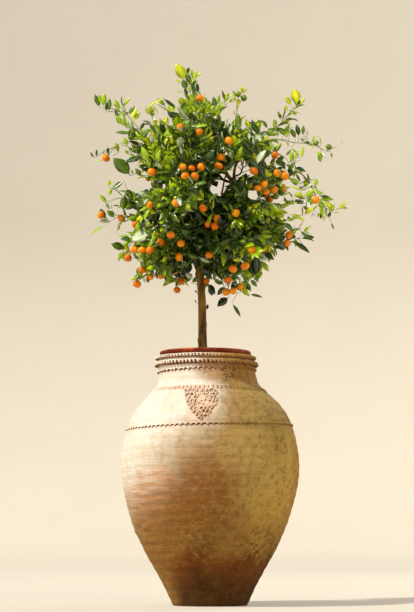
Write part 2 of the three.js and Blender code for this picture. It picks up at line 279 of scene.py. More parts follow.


# %% [markdown]
# ## The clay of the jar
# The jar is buff terracotta, washed with a pale slip that weather and wear have changed since, and some of
# its coats are painted sunlight and painted shade. A painted picture would fix these marks to one view.
# Instead each colour is a coat, with a place on the jar and a noise that frays its edge, which holds from all
# sides.
# All coats share a few noises: broad clouds, mottles and grain, and lines that run round the jar, because it
# was scraped while it turned.

# %% Noises of the clay
class JarClay(Finish):
    """The jar's finish, with the noises that its coats share. Each swings about 0."""

    def __init__(self):
        super().__init__("weathered_clay", 0.85, Specular_IOR_Level=0.12)
        self.broad = self.swing(3.2, 4, 0.55)
        self.cloud = self.swing(9, 5, 0.6)
        self.mottle = self.swing(30, 6, 0.74)
        self.grain = self.swing(170, 4, 0.7)
        self.dapple = self.swing(44, 5, 0.78)
        self.lines = self.swing(6, 6, 0.72, stretch=(1.2, 1.2, 15))
        self.threads = self.swing(5, 6, 0.72, stretch=(2.6, 2.6, 60))
        self.runs = self.swing(6, 5, 0.68, stretch=(3.4, 3.4, 0.4))
        self.soft = self.broad + 0.9 * self.mottle + 0.5 * self.lines
        self.fray = 2.4 * self.cloud + 1.6 * self.mottle + 0.8 * self.lines


clay = JarClay()
print("the clay's noises:", len(clay.tree.nodes), "nodes")

# %% [markdown]
# ## The slip
# The slip is cream on the left, buff in the middle and ochre on the right. Partly these are its own colours,
# bleached by the sun and weathered, and partly painted light: the cream high on the left is painted sunlight,
# the right side and the lower belly are darker as painted shade, and a greyer ochre high on the right is the
# crown's painted shadow. So one number, which grows from left to right and wanders with the noises, picks the
# colour. Where the slip is thin it is flushed pink, most of all at a place on the lower left that was
# scraped, and dark lines in the scraped grooves are painted shadow.

# %% Slip
TINTS.update({
    "sunlit cream": (218, 210, 196), "buff": (156, 126, 74), "ochre": (180, 151, 80), "shadowed ochre": (158, 132, 74),
    "gold ochre": (204, 165, 78), "flush": (206, 166, 134), "scrape": (200, 144, 104), "gouge shadow": (116, 70, 38),
})
SCRAPES = (-0.215, 0.400)   # the scraped stripes, as a place across and up on the side that faces -Y


def lay_slip(clay):
    x, _, z = clay.axes
    side = x + 0.30 * clay.broad + 0.22 * clay.mottle
    # higher up the cream reaches further right, as painted sunlight, and low down the buff spreads, as
    # painted shade
    side = side - 0.24 * clay.rise(z, 0.56, 0.84) * (1 - 0.7 * clay.rise(x, -0.02, 0.10))
    side = side + 0.17 * (1 - clay.rise(z, 0.26, 0.56))
    # from cream, partly painted sunlight, to buff
    clay.ground(clay.rise(side, -0.34, 0.05), "sunlit cream", "buff")
    # the ochre greys high on the right: the crown's painted shadow
    ochre = clay.mix(clay.rise(z + 0.1 * clay.cloud, 0.54, 0.78), "ochre", "shadowed ochre")
    clay.coat(clay.rise(side, -0.02, 0.20), ochre)
    clay.coat(0.8 * clay.rise(side, 0.20, 0.34) * (1 - clay.rise(z, 0.62, 0.74)), "gold ochre")
    flush = clay.rise(clay.cloud + 0.6 * clay.mottle, -0.06, 0.20) * (1 - clay.rise(x, -0.10, 0.14))
    clay.coat(0.35 * flush, "flush")
    scraped = clay.patch(*SCRAPES, 0.11, 0.13, clay.fray)
    clay.coat(0.85 * scraped * clay.rise(clay.lines, -0.12, 0.06), "scrape")
    # dark lines in the scraped grooves: painted shadow
    clay.coat(0.60 * scraped * clay.rise(0.6 * clay.lines + 0.4 * clay.threads, 0.03, 0.10), "gouge shadow")


lay_slip(clay)
print("with its slip:", len(clay.tree.nodes), "nodes")

# %% [markdown]
# ## Bare clay, and painted shade
# Warm bare clay shows through in scattered places, and in wide ones at the front and up the right edge. Two
# patches are painted light instead: brown round the neck is the crown's painted shadow, and a dusky patch low
# on the left is painted shade. A patch is an oval with noise added to the distance from its middle, so its
# edge wanders.

# %% Bare clay and painted shade
TINTS.update({
    "dun": (126, 84, 32), "worn": (140, 88, 38), "bare": (126, 76, 28), "flank shade": (120, 76, 36),
    "fired": (142, 78, 30), "neck shadow": (160, 112, 50),
})
# the patches: place across and up, half width and half height
STREAK = (-0.060, 0.250, 0.200, 0.200)
BARE = (-0.030, 0.435, 0.130, 0.150)
# a darker patch low on the left: painted shade
SHADED_FLANK = (-0.205, 0.300, 0.120, 0.165)
# brown round the neck: the crown's painted shadow
NECK_SHADOW = (0.080, 0.935, 0.130, 0.075)


def wear_bare_and_shade(clay):
    x, _, z = clay.axes
    clay.coat(0.84 * clay.patch(*STREAK, clay.soft, 0.0), "dun")
    worn = clay.rise(clay.broad + 0.5 * clay.cloud + 0.3 * clay.mottle, 0.10, 0.24)
    worn = worn * (1 - clay.rise(z, 0.60, 0.76)) * clay.rise(x - 0.5 * (z - 0.50), -0.20, 0.02)
    clay.coat(0.55 * worn, "worn")
    clay.coat(0.85 * clay.patch(*BARE, 0.8 * clay.fray, 0.0), "bare")
    # painted shade low on the left
    clay.coat(0.38 * clay.patch(*SHADED_FLANK, clay.soft, 0.0), "flank shade")
    edge = clay.rise(x + 0.16 * clay.cloud + 0.08 * clay.mottle, 0.295, 0.375)
    clay.coat(0.80 * edge * (1 - clay.rise(z + 0.3 * clay.broad, 0.48, 0.72)), "fired")
    # the crown's painted shadow round the neck
    clay.coat(0.75 * clay.patch(*NECK_SHADOW, clay.fray), "neck shadow")


wear_bare_and_shade(clay)
print("worn bare:", len(clay.tree.nodes), "nodes")

# %% [markdown]
# ## Darker low down, and the foot
# Towards the ground the jar grows darker and browner, partly its own colour and partly painted shade, as the
# lower belly turns away from the light. The foot is brown under a ragged edge, all but its left side. Stains
# that ran down pull both edges into tongues.

# %% Foot
TINTS.update({"low brown and shade": (134, 94, 36), "foot": (58, 30, 6), "foot's edge": (110, 56, 12)})


def darken_foot(clay):
    """Lays the darkening low down, partly painted shade, and the foot's brown, and gives the foot's mask,
    because other coats stop at it.
    """
    x, _, z = clay.axes
    # darker towards the ground: partly the clay's own colour, partly painted shade
    clay.coat(0.88 * (1 - clay.rise(z + 0.24 * clay.cloud + 0.12 * clay.runs, 0.14, 0.54)), "low brown and shade")
    ragged = z + 0.16 * clay.cloud + 0.12 * clay.runs + 0.05 * clay.mottle
    foot = (1 - clay.rise(ragged, 0.160, 0.232)) * clay.rise(x + 0.08 * clay.cloud, -0.185, -0.095)
    clay.coat(0.94 * foot, clay.mix(clay.rise(z + 0.3 * clay.cloud, 0.05, 0.20), "foot", "foot's edge"))
    return foot


foot = darken_foot(clay)
print("with its foot:", len(clay.tree.nodes), "nodes")

# %% [markdown]
# ## Speckle and lines
# Close to, the clay is never one colour: it is dappled, stained where water ran, lined by the scraper and
# pitted with grit. These coats go on last and thin, strongest on the weathered side. A pale coat lies over
# the
# grape relief and a little beside it: partly its slip, wiped nearly clean, and partly painted sunlight.

# %% Speckle
TINTS.update({
    "dark dapple": (92, 60, 22), "light dapple": (196, 156, 92), "stain": (110, 82, 36),
    "line": (118, 86, 42), "thread": (200, 176, 130), "speck": (60, 38, 14), "grit": (52, 34, 12),
    "wiped slip and sunlight": (224, 196, 166),
})
# where grit lies thickest, and where the slip was wiped and sunlight is painted, as patches
GRIT = ((0.190, 0.225, 0.090, 0.060), (0.075, 0.895, 0.040, 0.050))
THIN_GRIT = (-0.045, 0.225, 0.070, 0.050)
WIPED_AND_SUNLIT = (-0.034, 0.786, 0.060, 0.070)


def speckle(clay, foot):
    """Dapples, stains, lines and grit, the pale coat over the grapes with its painted sunlight, and the
    relief that goes with them.
    """
    x, _, z = clay.axes
    worked = 1 - 0.75 * clay.rise(z, 0.62, 0.76) * (1 - clay.rise(x, 0.0, 0.2))   # how plain the lines are
    aged = 0.15 + 0.85 * clay.rise(x - 0.4 * (z - 0.45), -0.22, 0.04)
    clay.coat(0.50 * aged * clay.rise(clay.dapple, 0.0, 0.14), "dark dapple")
    clay.coat(0.30 * aged * (1 - 0.8 * foot) * (1 - clay.rise(clay.dapple, -0.14, -0.01)), "light dapple")
    stain = clay.rise(0.55 * clay.mottle + 0.45 * clay.runs, -0.04, 0.16)
    clay.coat(0.45 * stain * clay.rise(x + 0.4 * clay.broad, -0.26, 0.06), "stain")
    clay.coat(0.30 * clay.rise(clay.lines, 0.04, 0.24) * worked, "line")
    clay.coat(0.26 * clay.rise(clay.threads + 0.4 * clay.mottle, 0.05, 0.20) * worked * (1 - foot), "thread")
    dirty = clay.rise(x + 0.5 * clay.broad - 0.5 * (z - 0.40), -0.06, 0.16)
    clay.coat(0.80 * clay.rise(clay.swing(40, 5, 0.80), 0.10, 0.16) * dirty, "speck")
    grit = sum(clay.patch(*place, clay.fray) for place in GRIT) + 0.6 * clay.patch(*THIN_GRIT, clay.fray)
    clay.coat(0.75 * grit * clay.rise(clay.swing(62, 5, 0.8), -0.01, 0.08), "grit")
    # the pale coat over the grapes: wiped slip and painted sunlight
    clay.coat(0.75 * clay.patch(*WIPED_AND_SUNLIT, 0.5 * clay.soft), "wiped slip and sunlight")
    clay.feed(Roughness=0.84 + 0.2 * clay.grain)
    lines = (0.5 + clay.lines) * worked
    clay.bump(0.7 * lines + 0.8 * clay.threads + 0.15 * clay.grain + 0.30 * clay.mottle, 0.0050, 0.9)


speckle(clay, foot)
CLAY = clay.material
print("the jar's clay:", len(clay.tree.nodes), "nodes")

# %% [markdown]
# ## The deep clay
# Where a stick or a stamp bit into the ornament, raw red clay shows, darkened further as painted shade in the
# recess, and under the rolls a darker finish is painted shade. These grounds are seen in slivers, so each is
# only two mottled tints with some grain. One function makes them, and later the bark chips and the green
# wood.
# The ground of the stamps also turns brown on the right, as painted shade.

# %% Plain finishes
def two_toned(name, dark, light, roughness, gloss, mottle, relief, depth, strength, between=(0.35, 0.65)):
    """A finish of two tints, mottled by one noise, with another for its relief."""
    plain = Finish(name, roughness, Specular_IOR_Level=gloss)
    plain.ground(plain.rise(plain.noise(*mottle), *between), shade(*dark), shade(*light))
    plain.bump(plain.noise(*relief), depth, strength)
    return plain.material


# raw red clay in the nicks and holes, darkened as painted shade
GROOVE = two_toned("deep_clay_and_shade", (84, 34, 18), (136, 72, 44), 0.95, 0.15,
                   mottle=(90, 4, 0.7), relief=(220, 3, 0.6), depth=0.001, strength=0.6, between=(0.35, 0.70))
# the painted shade under the rolls
ROLL_SHADE = two_toned("shade_under_rolls", (94, 58, 28), (160, 116, 68), 0.95, 0.10,
                  mottle=(70, 5, 0.7), relief=(70, 5, 0.7), depth=0.0015, strength=0.7)
TINTS.update({"red ground": (138, 76, 44), "pink ground": (184, 128, 90), "shaded brown ground": (92, 66, 32),
              "shaded dun ground": (138, 108, 58)})


def hollow_finish():
    hollow = Finish("hollow_clay", 0.92, Specular_IOR_Level=0.15)
    grain = hollow.noise(120, 4, 0.7)
    # brown on the right, where the relief lies in shade: painted shade
    worn = hollow.rise(hollow.axes[0] + 0.12 * hollow.swing(14, 4, 0.6), -0.01, 0.05)
    red = hollow.mix(hollow.rise(grain, 0.35, 0.65), "red ground", "pink ground")
    shaded_brown = hollow.mix(hollow.rise(grain, 0.40, 0.60), "shaded brown ground", "shaded dun ground")
    hollow.ground(worn, red, shaded_brown)
    hollow.bump(grain, 0.001, 0.6)
    return hollow.material


HOLLOW = hollow_finish()
print(len(bpy.data.materials), "finishes of clay")

# %% [markdown]
# ## The jar's wall
# A potter built the jar from coils and thrown lines, so it is nearly round and never quite. Its outline is
# one smooth curve through thirteen radii. The wall is a closed grid that goes up the outside, over the lip
# and down the inside, and each point is pushed in or out by the marks of the making: the swell of the coils,
# scraped grooves, flakes, chips and one deep pit in the neck. These are real shape, so light catches them.

# %% The jar's form
JAR_OUTLINE = np.array([
    (0.146, 0.0), (0.174, 0.062), (0.262, 0.218), (0.325, 0.376), (0.355, 0.555), (0.333, 0.694),
    (0.303, 0.762), (0.262, 0.814), (0.219, 0.855), (0.204, 0.874), (0.198, 0.896), (0.194, 0.940),
    (0.188, 0.990),
])
JAR_HEIGHT = 0.990
JAR_WALL = 0.024
WANDER_FROM = 0.800       # above this height the jar's axis leans to the left
WANDER_SIDEWAYS = -0.019


def curve_through(knots, heights):
    """Radii at the heights, on a smooth curve through the knots of (radius, height)."""
    radius, height = knots.T
    slope = np.gradient(radius, height)
    place = np.clip(np.searchsorted(height, heights, side="right") - 1, 0, len(height) - 2)
    span = height[place + 1] - height[place]
    t = np.clip((heights - height[place]) / span, 0, 1)
    rise = (2 * t ** 3 - 3 * t ** 2 + 1) * radius[place] + (3 * t ** 2 - 2 * t ** 3) * radius[place + 1]
    bend = (t ** 3 - 2 * t ** 2 + t) * slope[place] + (t ** 3 - t ** 2) * slope[place + 1]
    return rise + span * bend


def wall_radius(heights):
    return curve_through(JAR_OUTLINE, heights)


def wander(heights):
    share = np.clip((heights - WANDER_FROM) / (JAR_HEIGHT - WANDER_FROM), 0, None)
    return WANDER_SIDEWAYS * share


def around_jar(turns, heights, outwards):
    """Points on the jar at the turns (0 right, a quarter back) and heights, that far out from its axis."""
    return np.stack([outwards * np.cos(turns) + wander(heights), outwards * np.sin(turns),
                     heights + 0 * turns], -1)


print("the belly is", 2 * JAR_OUTLINE[:, 0].max(), "metres wide")


# %% Marks of the making
def spot(points, x, z, half_width, half_height):
    """1 at a place on the jar's front, fading to 0 round it."""
    fade = ((points[..., 0] - x) / half_width) ** 2 + ((points[..., 2] - z) / half_height) ** 2
    return np.exp(-fade) * (points[..., 1] < 0)


# the marks of the making that have a place, across and up on the side that faces -Y
FLAKES = (-0.268, 0.295)    # flaked lumps under the scraped stripes
SMEARS = (0.010, 0.645)     # smears of slip under the shoulder
LEDGE = (-0.060, 0.575)     # a thin raised ledge on the belly
PIT = (-0.020, 0.905)       # a deep pit in the neck
CHIPS = 70                  # chips all round, dealt out by the seed


def norm(vectors):
    return np.linalg.norm(vectors, axis=-1)


def jar_marks(points):
    """How far the wall stands proud of its smooth outline."""
    marks = 0.0024 * lumps(points, 0.23, 1) + 0.0011 * lumps(points, 0.08, 2)
    coil = 2 * np.pi * points[..., 2] / 0.036 + 2.5 * lumps(points, 0.30, 3)
    marks += 0.0006 * np.sin(coil) + 0.0005 * lumps(points, (0.20, 0.20, 0.010), 4)
    marks += 0.0040 * spot(points, *SCRAPES, 0.085, 0.110) * lumps(points, (0.070, 0.070, 0.013), 5)
    marks += 0.0060 * spot(points, *FLAKES, 0.045, 0.050) * lumps(points, 0.018, 6)
    marks += 0.0022 * spot(points, *SMEARS, 0.130, 0.050) * lumps(points, (0.045, 0.045, 0.011), 7)
    marks += 0.0030 * spot(points, *LEDGE, 0.055, 0.0045)
    rng = np.random.default_rng(8)
    for turn, height, size in rng.uniform((0, 0.05, 0.006), (2 * np.pi, 0.9, 0.013), (CHIPS, 3)):
        chip = around_jar(np.array(turn), np.array(height), wall_radius(np.array(height)))
        away = norm(points - chip) / size
        marks -= 0.26 * size * np.exp(-away ** 2)
    away = np.hypot(points[..., 0] - PIT[0], points[..., 2] - PIT[1])
    marks -= 0.0050 * np.exp(-(away / 0.0055) ** 2) * (points[..., 1] < 0)
    return marks


def on_jar(turns, heights, outwards=0.0):
    """Points on the jar's marked wall, that far out of it."""
    radius = wall_radius(heights)
    smooth = around_jar(turns, heights, radius + 0 * turns)
    return around_jar(turns, heights, radius + jar_marks(smooth) + outwards)


print("the wall has", CHIPS, "chips")

# %% Build the jar
JAR_SIDES = 336
JAR_ROWS = 262
JAR_FLOOR = 0.048


def circle(sides):
    return np.arange(sides) * 2 * np.pi / sides


def ring(turns, radius, height, x=0.0):
    return np.stack([x + radius * np.cos(turns), radius * np.sin(turns), height + 0 * turns], -1)


def turned(rows):
    """The points and faces of a turned form: rings of points, with a flat face closing each end."""
    rows = np.stack(rows)
    count, sides = rows.shape[:2]
    first = np.arange(sides)[::-1][None, :]
    last = (np.arange(sides) + (count - 1) * sides)[None, :]
    return rows, [grid_faces(count, sides), first, last]


def jar_rows():
    turns = circle(JAR_SIDES)
    rows = [ring(turns, JAR_OUTLINE[0, 0] * share, 0.0) for share in (0.02, 0.5, 0.9, 0.985)]
    heights = 0.0025 + (JAR_HEIGHT - 0.0045) * np.linspace(0, 1, JAR_ROWS)
    rows += list(on_jar(turns[None, :], heights[:, None]))
    for angle in np.linspace(0.3, np.pi - 0.3, 5):
        lip = np.array(JAR_HEIGHT - 0.002 + 0.002 * np.sin(angle))
        rows.append(around_jar(turns, lip, JAR_OUTLINE[-1, 0] - JAR_WALL / 2 * (1 - np.cos(angle))))
    for height in np.linspace(JAR_HEIGHT - 0.006, JAR_FLOOR + 0.01, 18):
        rows.append(around_jar(turns, height, wall_radius(height) - JAR_WALL))
    rows += [ring(turns, JAR_OUTLINE[0, 0] * share, JAR_FLOOR) for share in (0.7, 0.02)]
    return rows


make_piece("oil_jar", *turned(jar_rows()), [CLAY], "terracotta", ["jar"])

# %% [markdown]
# ## Rolls and cords
# Round the neck the potter laid two fat rolls of clay and pinched their edges between finger and thumb, then
# a thin cord under them and another on the shoulder, nicked with a stick. A roll is a ring with an oval
# section. The pinches are dips that come round at an even spacing, slanted like a rope's strands, and lumps
# keep any two from being alike. The nicks go down to raw red clay, and the faces in them and under the rolls
# wear darker finishes that are partly painted shade. On the right, which lies in shade, fewer nicks are dark.

# %% Ring ornament
def pinched_ring(name, height, out, thick, tall, pinches, depth, bite, duty, replaces, tilt=0.0):
    """A closed ring of clay on the jar's wall, nicked evenly: bite is the side the nicks come from, duty
    their share of the way round."""
    sides, around = 960, 14
    turns = circle(sides)[:, None]
    lap = circle(around)[None, :]
    middle = height + tilt * np.cos(turns)
    wobble = lumps(ring(turns, 0.3, 0.0), 0.03, pinches)
    beat = (pinches * turns / (2 * np.pi) + 0.10 * np.sin(lap) + 0.16 * wobble) % 1
    nick = step(1 - np.abs(2 * beat - 1), 1 - duty - 0.22, 1 - duty + 0.22)
    nick = nick * np.clip(1.4 * np.cos(lap - bite), 0, 1) * (1 + 0.35 * wobble)
    swell = 1 + 0.12 * wobble
    heights = middle + tall * np.sin(lap) * swell - 0.8 * depth * nick * math.sin(bite)
    outwards = out + thick * np.cos(lap) * swell - depth * nick * math.cos(bite)
    rows = around_jar(turns + 0 * lap, heights, wall_radius(middle) + outwards)
    faces = grid_faces(sides + 1, around)[:, ::-1] % (sides * around)
    # on the right, which lies in shade, fewer nicks are dark
    worn = step(rows[..., 0] + 0.05 * wobble, -0.02, 0.06) * (rows[..., 1] < 0.05)
    deep = (nick * (1 - 0.55 * worn)).ravel()[faces].mean(1) > 0.62
    # the faces under a roll wear painted shade
    under = (np.sin(lap) * np.ones_like(turns)).ravel()[faces].mean(1) < -0.45
    finishes = np.where(deep, 1, np.where(under, 2, 0))
    make_piece(name, rows, [faces], [CLAY, GROOVE, ROLL_SHADE], "terracotta", replaces, finishes)


BELOW = math.radians(-48)
ABOVE = math.radians(38)
pinched_ring("upper_roll", 0.9805, 0.005, 0.0090, 0.0080, 84, 0.0062, ABOVE, 0.42, ["neck_rings"])
pinched_ring("lower_roll", 0.9550, 0.007, 0.0100, 0.0105, 80, 0.0072, BELOW, 0.50, [])
pinched_ring("neck_cord", 0.9285, 0.001, 0.0056, 0.0062, 58, 0.0052, BELOW, 0.66, [], tilt=0.005)
pinched_ring("shoulder_rope", 0.7020, 0.001, 0.0054, 0.0060, 98, 0.0052, BELOW, 0.66, ["shoulder_cord"],
             tilt=0.009)

# %% [markdown]
# ## Rosettes and the bunch of grapes
# Under the neck the potter stamped a band of tiny rosettes, and at the front pressed on a shield that stands
# for a bunch of grapes. Both are made of the same mark: a ring with a bead in it. As a height, that mark is
# a ridge at one distance from its centre plus a bump in the middle, so a fine grid over the wall can carry
# any number of them. Between the marks the tool went deep, and there the darker finishes show: raw clay,
# darkened as painted shade in the hollows.

# %% Stamps
def stamps(across, up, centres, ring_size, wear=0.0):
    """Heights from 0 to 1 of stamped rings with beads."""
    height = np.zeros(across.shape)
    for centre_across, centre_up, size in centres:
        away = np.hypot(across - centre_across, up - centre_up) / (size * ring_size)
        ridge = np.exp(-((away - 1) / 0.34) ** 2) + 0.9 * np.exp(-(away / 0.36) ** 2)
        height = np.maximum(height, ridge)
    return height * (1 - wear)


def cushion_faces(rows, columns):
    """The faces of a front grid and a back grid that share their border."""
    front = np.arange(rows * columns).reshape(rows, columns)
    back = front.copy()
    back[1:-1, 1:-1] = rows * columns + np.arange((rows - 2) * (columns - 2)).reshape(rows - 2, -1)
    sheets = [np.stack([grid[:-1, :-1], grid[:-1, 1:], grid[1:, 1:], grid[1:, :-1]], -1)
              for grid in (front, back)]
    return np.concatenate([sheets[0].reshape(-1, 4), sheets[1].reshape(-1, 4)[:, ::-1]])


print("a cushion of 3 by 3 points has", len(cushion_faces(3, 3)), "faces")


# %% Band of rosettes
def stamped_band(name, replaces):
    """The band of rosettes: a closed ring whose outer face carries one row of stamps."""
    low, high, line = 0.8410, 0.8622, 0.8518     # the band's edges and the middles of its marks
    proud, count, sides, rows = 0.0046, 82, 984, 13
    turns = circle(sides)[:, None]
    up = np.linspace(low, high, rows)[None, :]
    pitch = 2 * np.pi / count
    local = (turns + 0.5 * pitch) % pitch - 0.5 * pitch
    uneven = 0.0011 * lumps(ring(turns, 0.26, 0.0), 0.02, 21)
    height = stamps(local * 0.25, up - line + uneven, [(0.0, 0.0, 1.0)], 0.0054)
    edge = step(up, low, low + 0.003) * (1 - step(up, high - 0.003, high))
    outwards = edge * (0.0012 + proud * height * (0.8 + 0.3 * lumps(ring(turns, 0.26, 0.0), 0.05, 22)))
    front = on_jar(turns, up, outwards - 0.0022 * (1 - edge))
    back = on_jar(turns, up[:, ::-1], -0.0035)[:, 1:-1]
    grid = np.concatenate([front, back], 1)
    around = grid.shape[1]
    faces = grid_faces(sides + 1, around)[:, ::-1] % (sides * around)
    within = step(up, low + 0.003, low + 0.006) * (1 - step(up, high - 0.006, high - 0.003))
    # the hollows between the stamps wear the darker clay, partly painted shade
    hollow = np.concatenate([within * (height < 0.30), 0 * back[..., 0]], 1)
    deep = hollow.ravel()[faces].mean(1) > 0.45
    make_piece(name, grid, [faces], [CLAY, HOLLOW], "terracotta", replaces, deep)


stamped_band("rosettes", ["rosette_band"])

# %% Bunch of grapes
GRAPES_X = -0.034
GRAPES_TOP = 0.848
GRAPES_POINT = 0.711
GRAPES_HALF_WIDTH = 0.068
GRAPES_WORN = (0.006, 0.783, 0.020, 0.026)   # the rubbed middle: across, up, half width, half height


def grape_outline(up):
    """Half the shield's width: broad at the shoulders and drawn down to a point."""
    share = np.clip((up - GRAPES_POINT) / (GRAPES_TOP - GRAPES_POINT), 0, 1)
    return GRAPES_HALF_WIDTH * np.sin(np.pi / 2 * np.clip(1.30 * share, 0, 1)) ** 0.85


def grape_shield():
    columns, rows = 136, 132
    across = np.linspace(-0.076, 0.076, columns)[None, :]
    up = np.linspace(GRAPES_POINT - 0.006, GRAPES_TOP + 0.006, rows)[:, None]
    across, up = across + 0 * up, up + 0 * across
    rng = np.random.default_rng(23)
    pitch = 0.0165
    centres, holes = [], []
    for line in range(10):
        for place in range(-5, 6):
            centre = np.array([(place + 0.5 * (line % 2)) * pitch, GRAPES_TOP - 0.007 - line * pitch * 0.87])
            centre += rng.uniform(-0.0022, 0.0022, 2)
            room = grape_outline(centre[1]) - abs(centre[0])
            if room > 0.003:
                centres.append((*centre, rng.uniform(0.75, 1.2)))
            if room > 0.001 and (room < 0.012 or rng.uniform() < 0.80):
                holes.append((*(centre + (0.0082, -0.0048)), rng.uniform(0.8, 1.3)))
    worn = ((across - GRAPES_WORN[0]) / GRAPES_WORN[2]) ** 2 + ((up - GRAPES_WORN[1]) / GRAPES_WORN[3]) ** 2
    worn = np.exp(-worn)
    height = stamps(across, up, centres, 0.0058, 0.6 * worn)
    hole = np.zeros(across.shape)
    for place, level, size in holes:
        hole = np.maximum(hole, np.exp(-(np.hypot(across - place, up - level) / (0.0045 * size)) ** 2))
    inside = step(grape_outline(up) - np.abs(across), -0.001, 0.004)
    inside = inside * step(GRAPES_TOP - up, -0.001, 0.003) * step(up - GRAPES_POINT, 0, 0.003)
    outwards = inside * (0.0035 + 0.0080 * height + 0.0020 * worn - 0.0055 * hole) - 0.0035
    turns = -np.pi / 2 + (across + GRAPES_X) / wall_radius(up.ravel()).reshape(up.shape)
    front = on_jar(turns, up, outwards + 0.0005)
    back = on_jar(turns, up, -0.0105)[1:-1, 1:-1]
    points = np.concatenate([front.reshape(-1, 3), back.reshape(-1, 3)])
    faces = cushion_faces(rows, columns)
    rest = np.zeros(back.shape[0] * back.shape[1])
    # hollows and holes wear the darker clays: raw clay, with painted shade in the recesses
    hollow = np.concatenate([((height + worn < 0.24) * (inside > 0.5)).ravel(), rest])[faces].mean(1) > 0.45
    deep = np.concatenate([(hole * (inside > 0.5)).ravel(), rest])[faces].mean(1) > 0.34
    finishes = np.where(deep, 1, np.where(hollow, 2, 0))
    make_piece("grapes", points, [faces], [CLAY, GROOVE, HOLLOW], "terracotta", ["grape_relief"], finishes)
    print("the shield has", len(centres), "grapes and", len(holes), "holes")


grape_shield()

# %% [markdown]
# ## The inner pot and its soil
# The tree isn't planted in the jar. It stands in a plain machine-made pot of dark rust-red clay, whose fat
# rim rests on the jar's mouth, so it can be lifted out for winter. Only the rim shows, but the pot is turned
# whole. The rim's crest is paler, partly rubbed by hands and hose and partly a painted highlight, and its
# right side is paler as painted light. The soil is a disc of crumbs: a lumpy surface with loose stones and
# bark chips on it, since a smooth disc would look like a lid from above.

# %% Inner pot
POT_X = WANDER_SIDEWAYS
POT_RIM = 0.183
POT_TOP = 1.010
POT_FOOT = 0.118
POT_BODY = 0.158
POT_DEPTH = 0.285
POT_WALL = 0.011
TINTS.update({"rust": (84, 28, 8), "bright rust": (124, 48, 18), "rubbed and lit rim": (204, 112, 74),
              "lit rust": (158, 84, 40), "lime bloom": (196, 160, 132)})


def rust_finish():
    rust = Finish("rust_red_clay", 0.7, Specular_IOR_Level=0.10)
    x, _, z = rust.axes
    cloud = rust.noise(16, 5, 0.6)
    grain = rust.noise(130, 4, 0.7)
    rust.ground(rust.rise(cloud, 0.35, 0.7), "rust", "bright rust")
    # a paler crest: partly rubbed, partly a painted highlight
    rubbed_and_lit = rust.rise(z + 0.012 * (cloud - 0.5), 1.0040, 1.0095) * rust.rise(cloud + 0.3 * grain, 0.55, 0.8)
    rust.coat(0.70 * rubbed_and_lit, "rubbed and lit rim")
    # the right side of the rim paler: painted light
    rust.coat(0.45 * rust.rise(x + 0.06 * (cloud - 0.5), 0.02, 0.12), "lit rust")
    rust.coat(0.35 * rust.rise(rust.noise(34, 4, 0.7), 0.6, 0.72), "lime bloom")
    rust.feed(Roughness=0.55 + 0.35 * cloud)
    rust.bump(0.7 * grain + 0.5 * cloud, 0.0012, 0.7)
    return rust.material


RUST = rust_finish()


def pot_outline():
    """The pot's radii and heights: up the outside, over the fat rim and down the inside to its floor."""
    foot = POT_TOP - POT_DEPTH
    spread = POT_BODY - POT_FOOT
    outline = [(POT_FOOT * share, foot) for share in (0.03, 0.6, 0.97)]
    outline += [(POT_FOOT + spread * share, foot + 0.003 + share * 0.255) for share in np.linspace(0, 1, 20)]
    outline += [(POT_BODY + 0.012, 0.988), (POT_RIM - 0.004, 0.9912)]
    outline += [(POT_RIM - 0.009 + 0.009 * np.cos(a), 1.0003 + 0.0092 * np.sin(a))
                for a in np.linspace(-1.1, np.pi * 0.62, 14)]
    outline += [(POT_RIM - 0.018, 1.0065), (POT_RIM - 0.022, 1.000), (POT_BODY - POT_WALL + 0.012, 0.985)]
    outline += [(POT_FOOT - POT_WALL + spread * share, foot + 0.012 + share * 0.245)
                for share in np.linspace(1, 0, 10)]
    return outline + [(0.03 * POT_FOOT, foot + 0.012)]


def pot_rows():
    turns = circle(192)
    rows = []
    for radius, height in pot_outline():
        smooth = ring(turns, radius, height, POT_X)
        dents = 0.0011 * lumps(smooth, (0.05, 0.05, 0.02), 31) * (radius > POT_FOOT)
        rows.append(ring(turns, radius + dents, height, POT_X))
    return rows


make_piece("hanging_pot", *turned(pot_rows()), [RUST], "rust_clay", ["inner_pot"])

# %% Soil
SOIL_TOP = 0.976
STEM_X = -0.029     # where the stem comes out of it
TINTS.update({"dark crumb": (38, 27, 18), "light crumb": (84, 62, 42), "damp soil": (52, 37, 25)})


def soil_finish():
    soil = Finish("potting_soil", 0.95, Specular_IOR_Level=0.2)
    crumbs = soil.noise(120, 5, 0.7)
    soil.ground(soil.rise(crumbs, 0.35, 0.68), "dark crumb", "light crumb")
    soil.coat(0.6 * soil.rise(soil.noise(14, 3, 0.5), 0.45, 0.65), "damp soil")
    soil.bump(crumbs, 0.004, 0.9)
    return soil.material


def soil_swell(points):
    """How far the soil swells up or sinks, at the points."""
    return 0.0035 * lumps(points, 0.022, 41)


def soil_rows():
    low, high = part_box("soil")
    radius = (high[0] - low[0]) / 2 - 0.001
    centre = (high[0] + low[0]) / 2
    turns = circle(160)
    rows = [ring(turns, radius * share, low[2], centre) for share in (0.02, 0.8)]
    rows += [ring(turns, radius * share, height, centre)
             for share, height in ((0.84, low[2] + 0.004), (0.93, (low[2] + high[2]) / 2))]
    for share in np.linspace(0.995, 0.02, 40):
        row = ring(turns, radius * share, SOIL_TOP, centre)
        bumps = soil_swell(row) + 0.0022 * lumps(row, 0.008, 42) - 0.004 * share ** 4
        mound = 0.004 * np.exp(-(np.hypot(row[:, 0] - STEM_X, row[:, 1]) / 0.05) ** 2)
        row[:, 2] = row[:, 2] + bumps + mound
        rows.append(row)
    return rows


make_piece("potting_mix", *turned(soil_rows()), [soil_finish()], "soil", ["soil"])

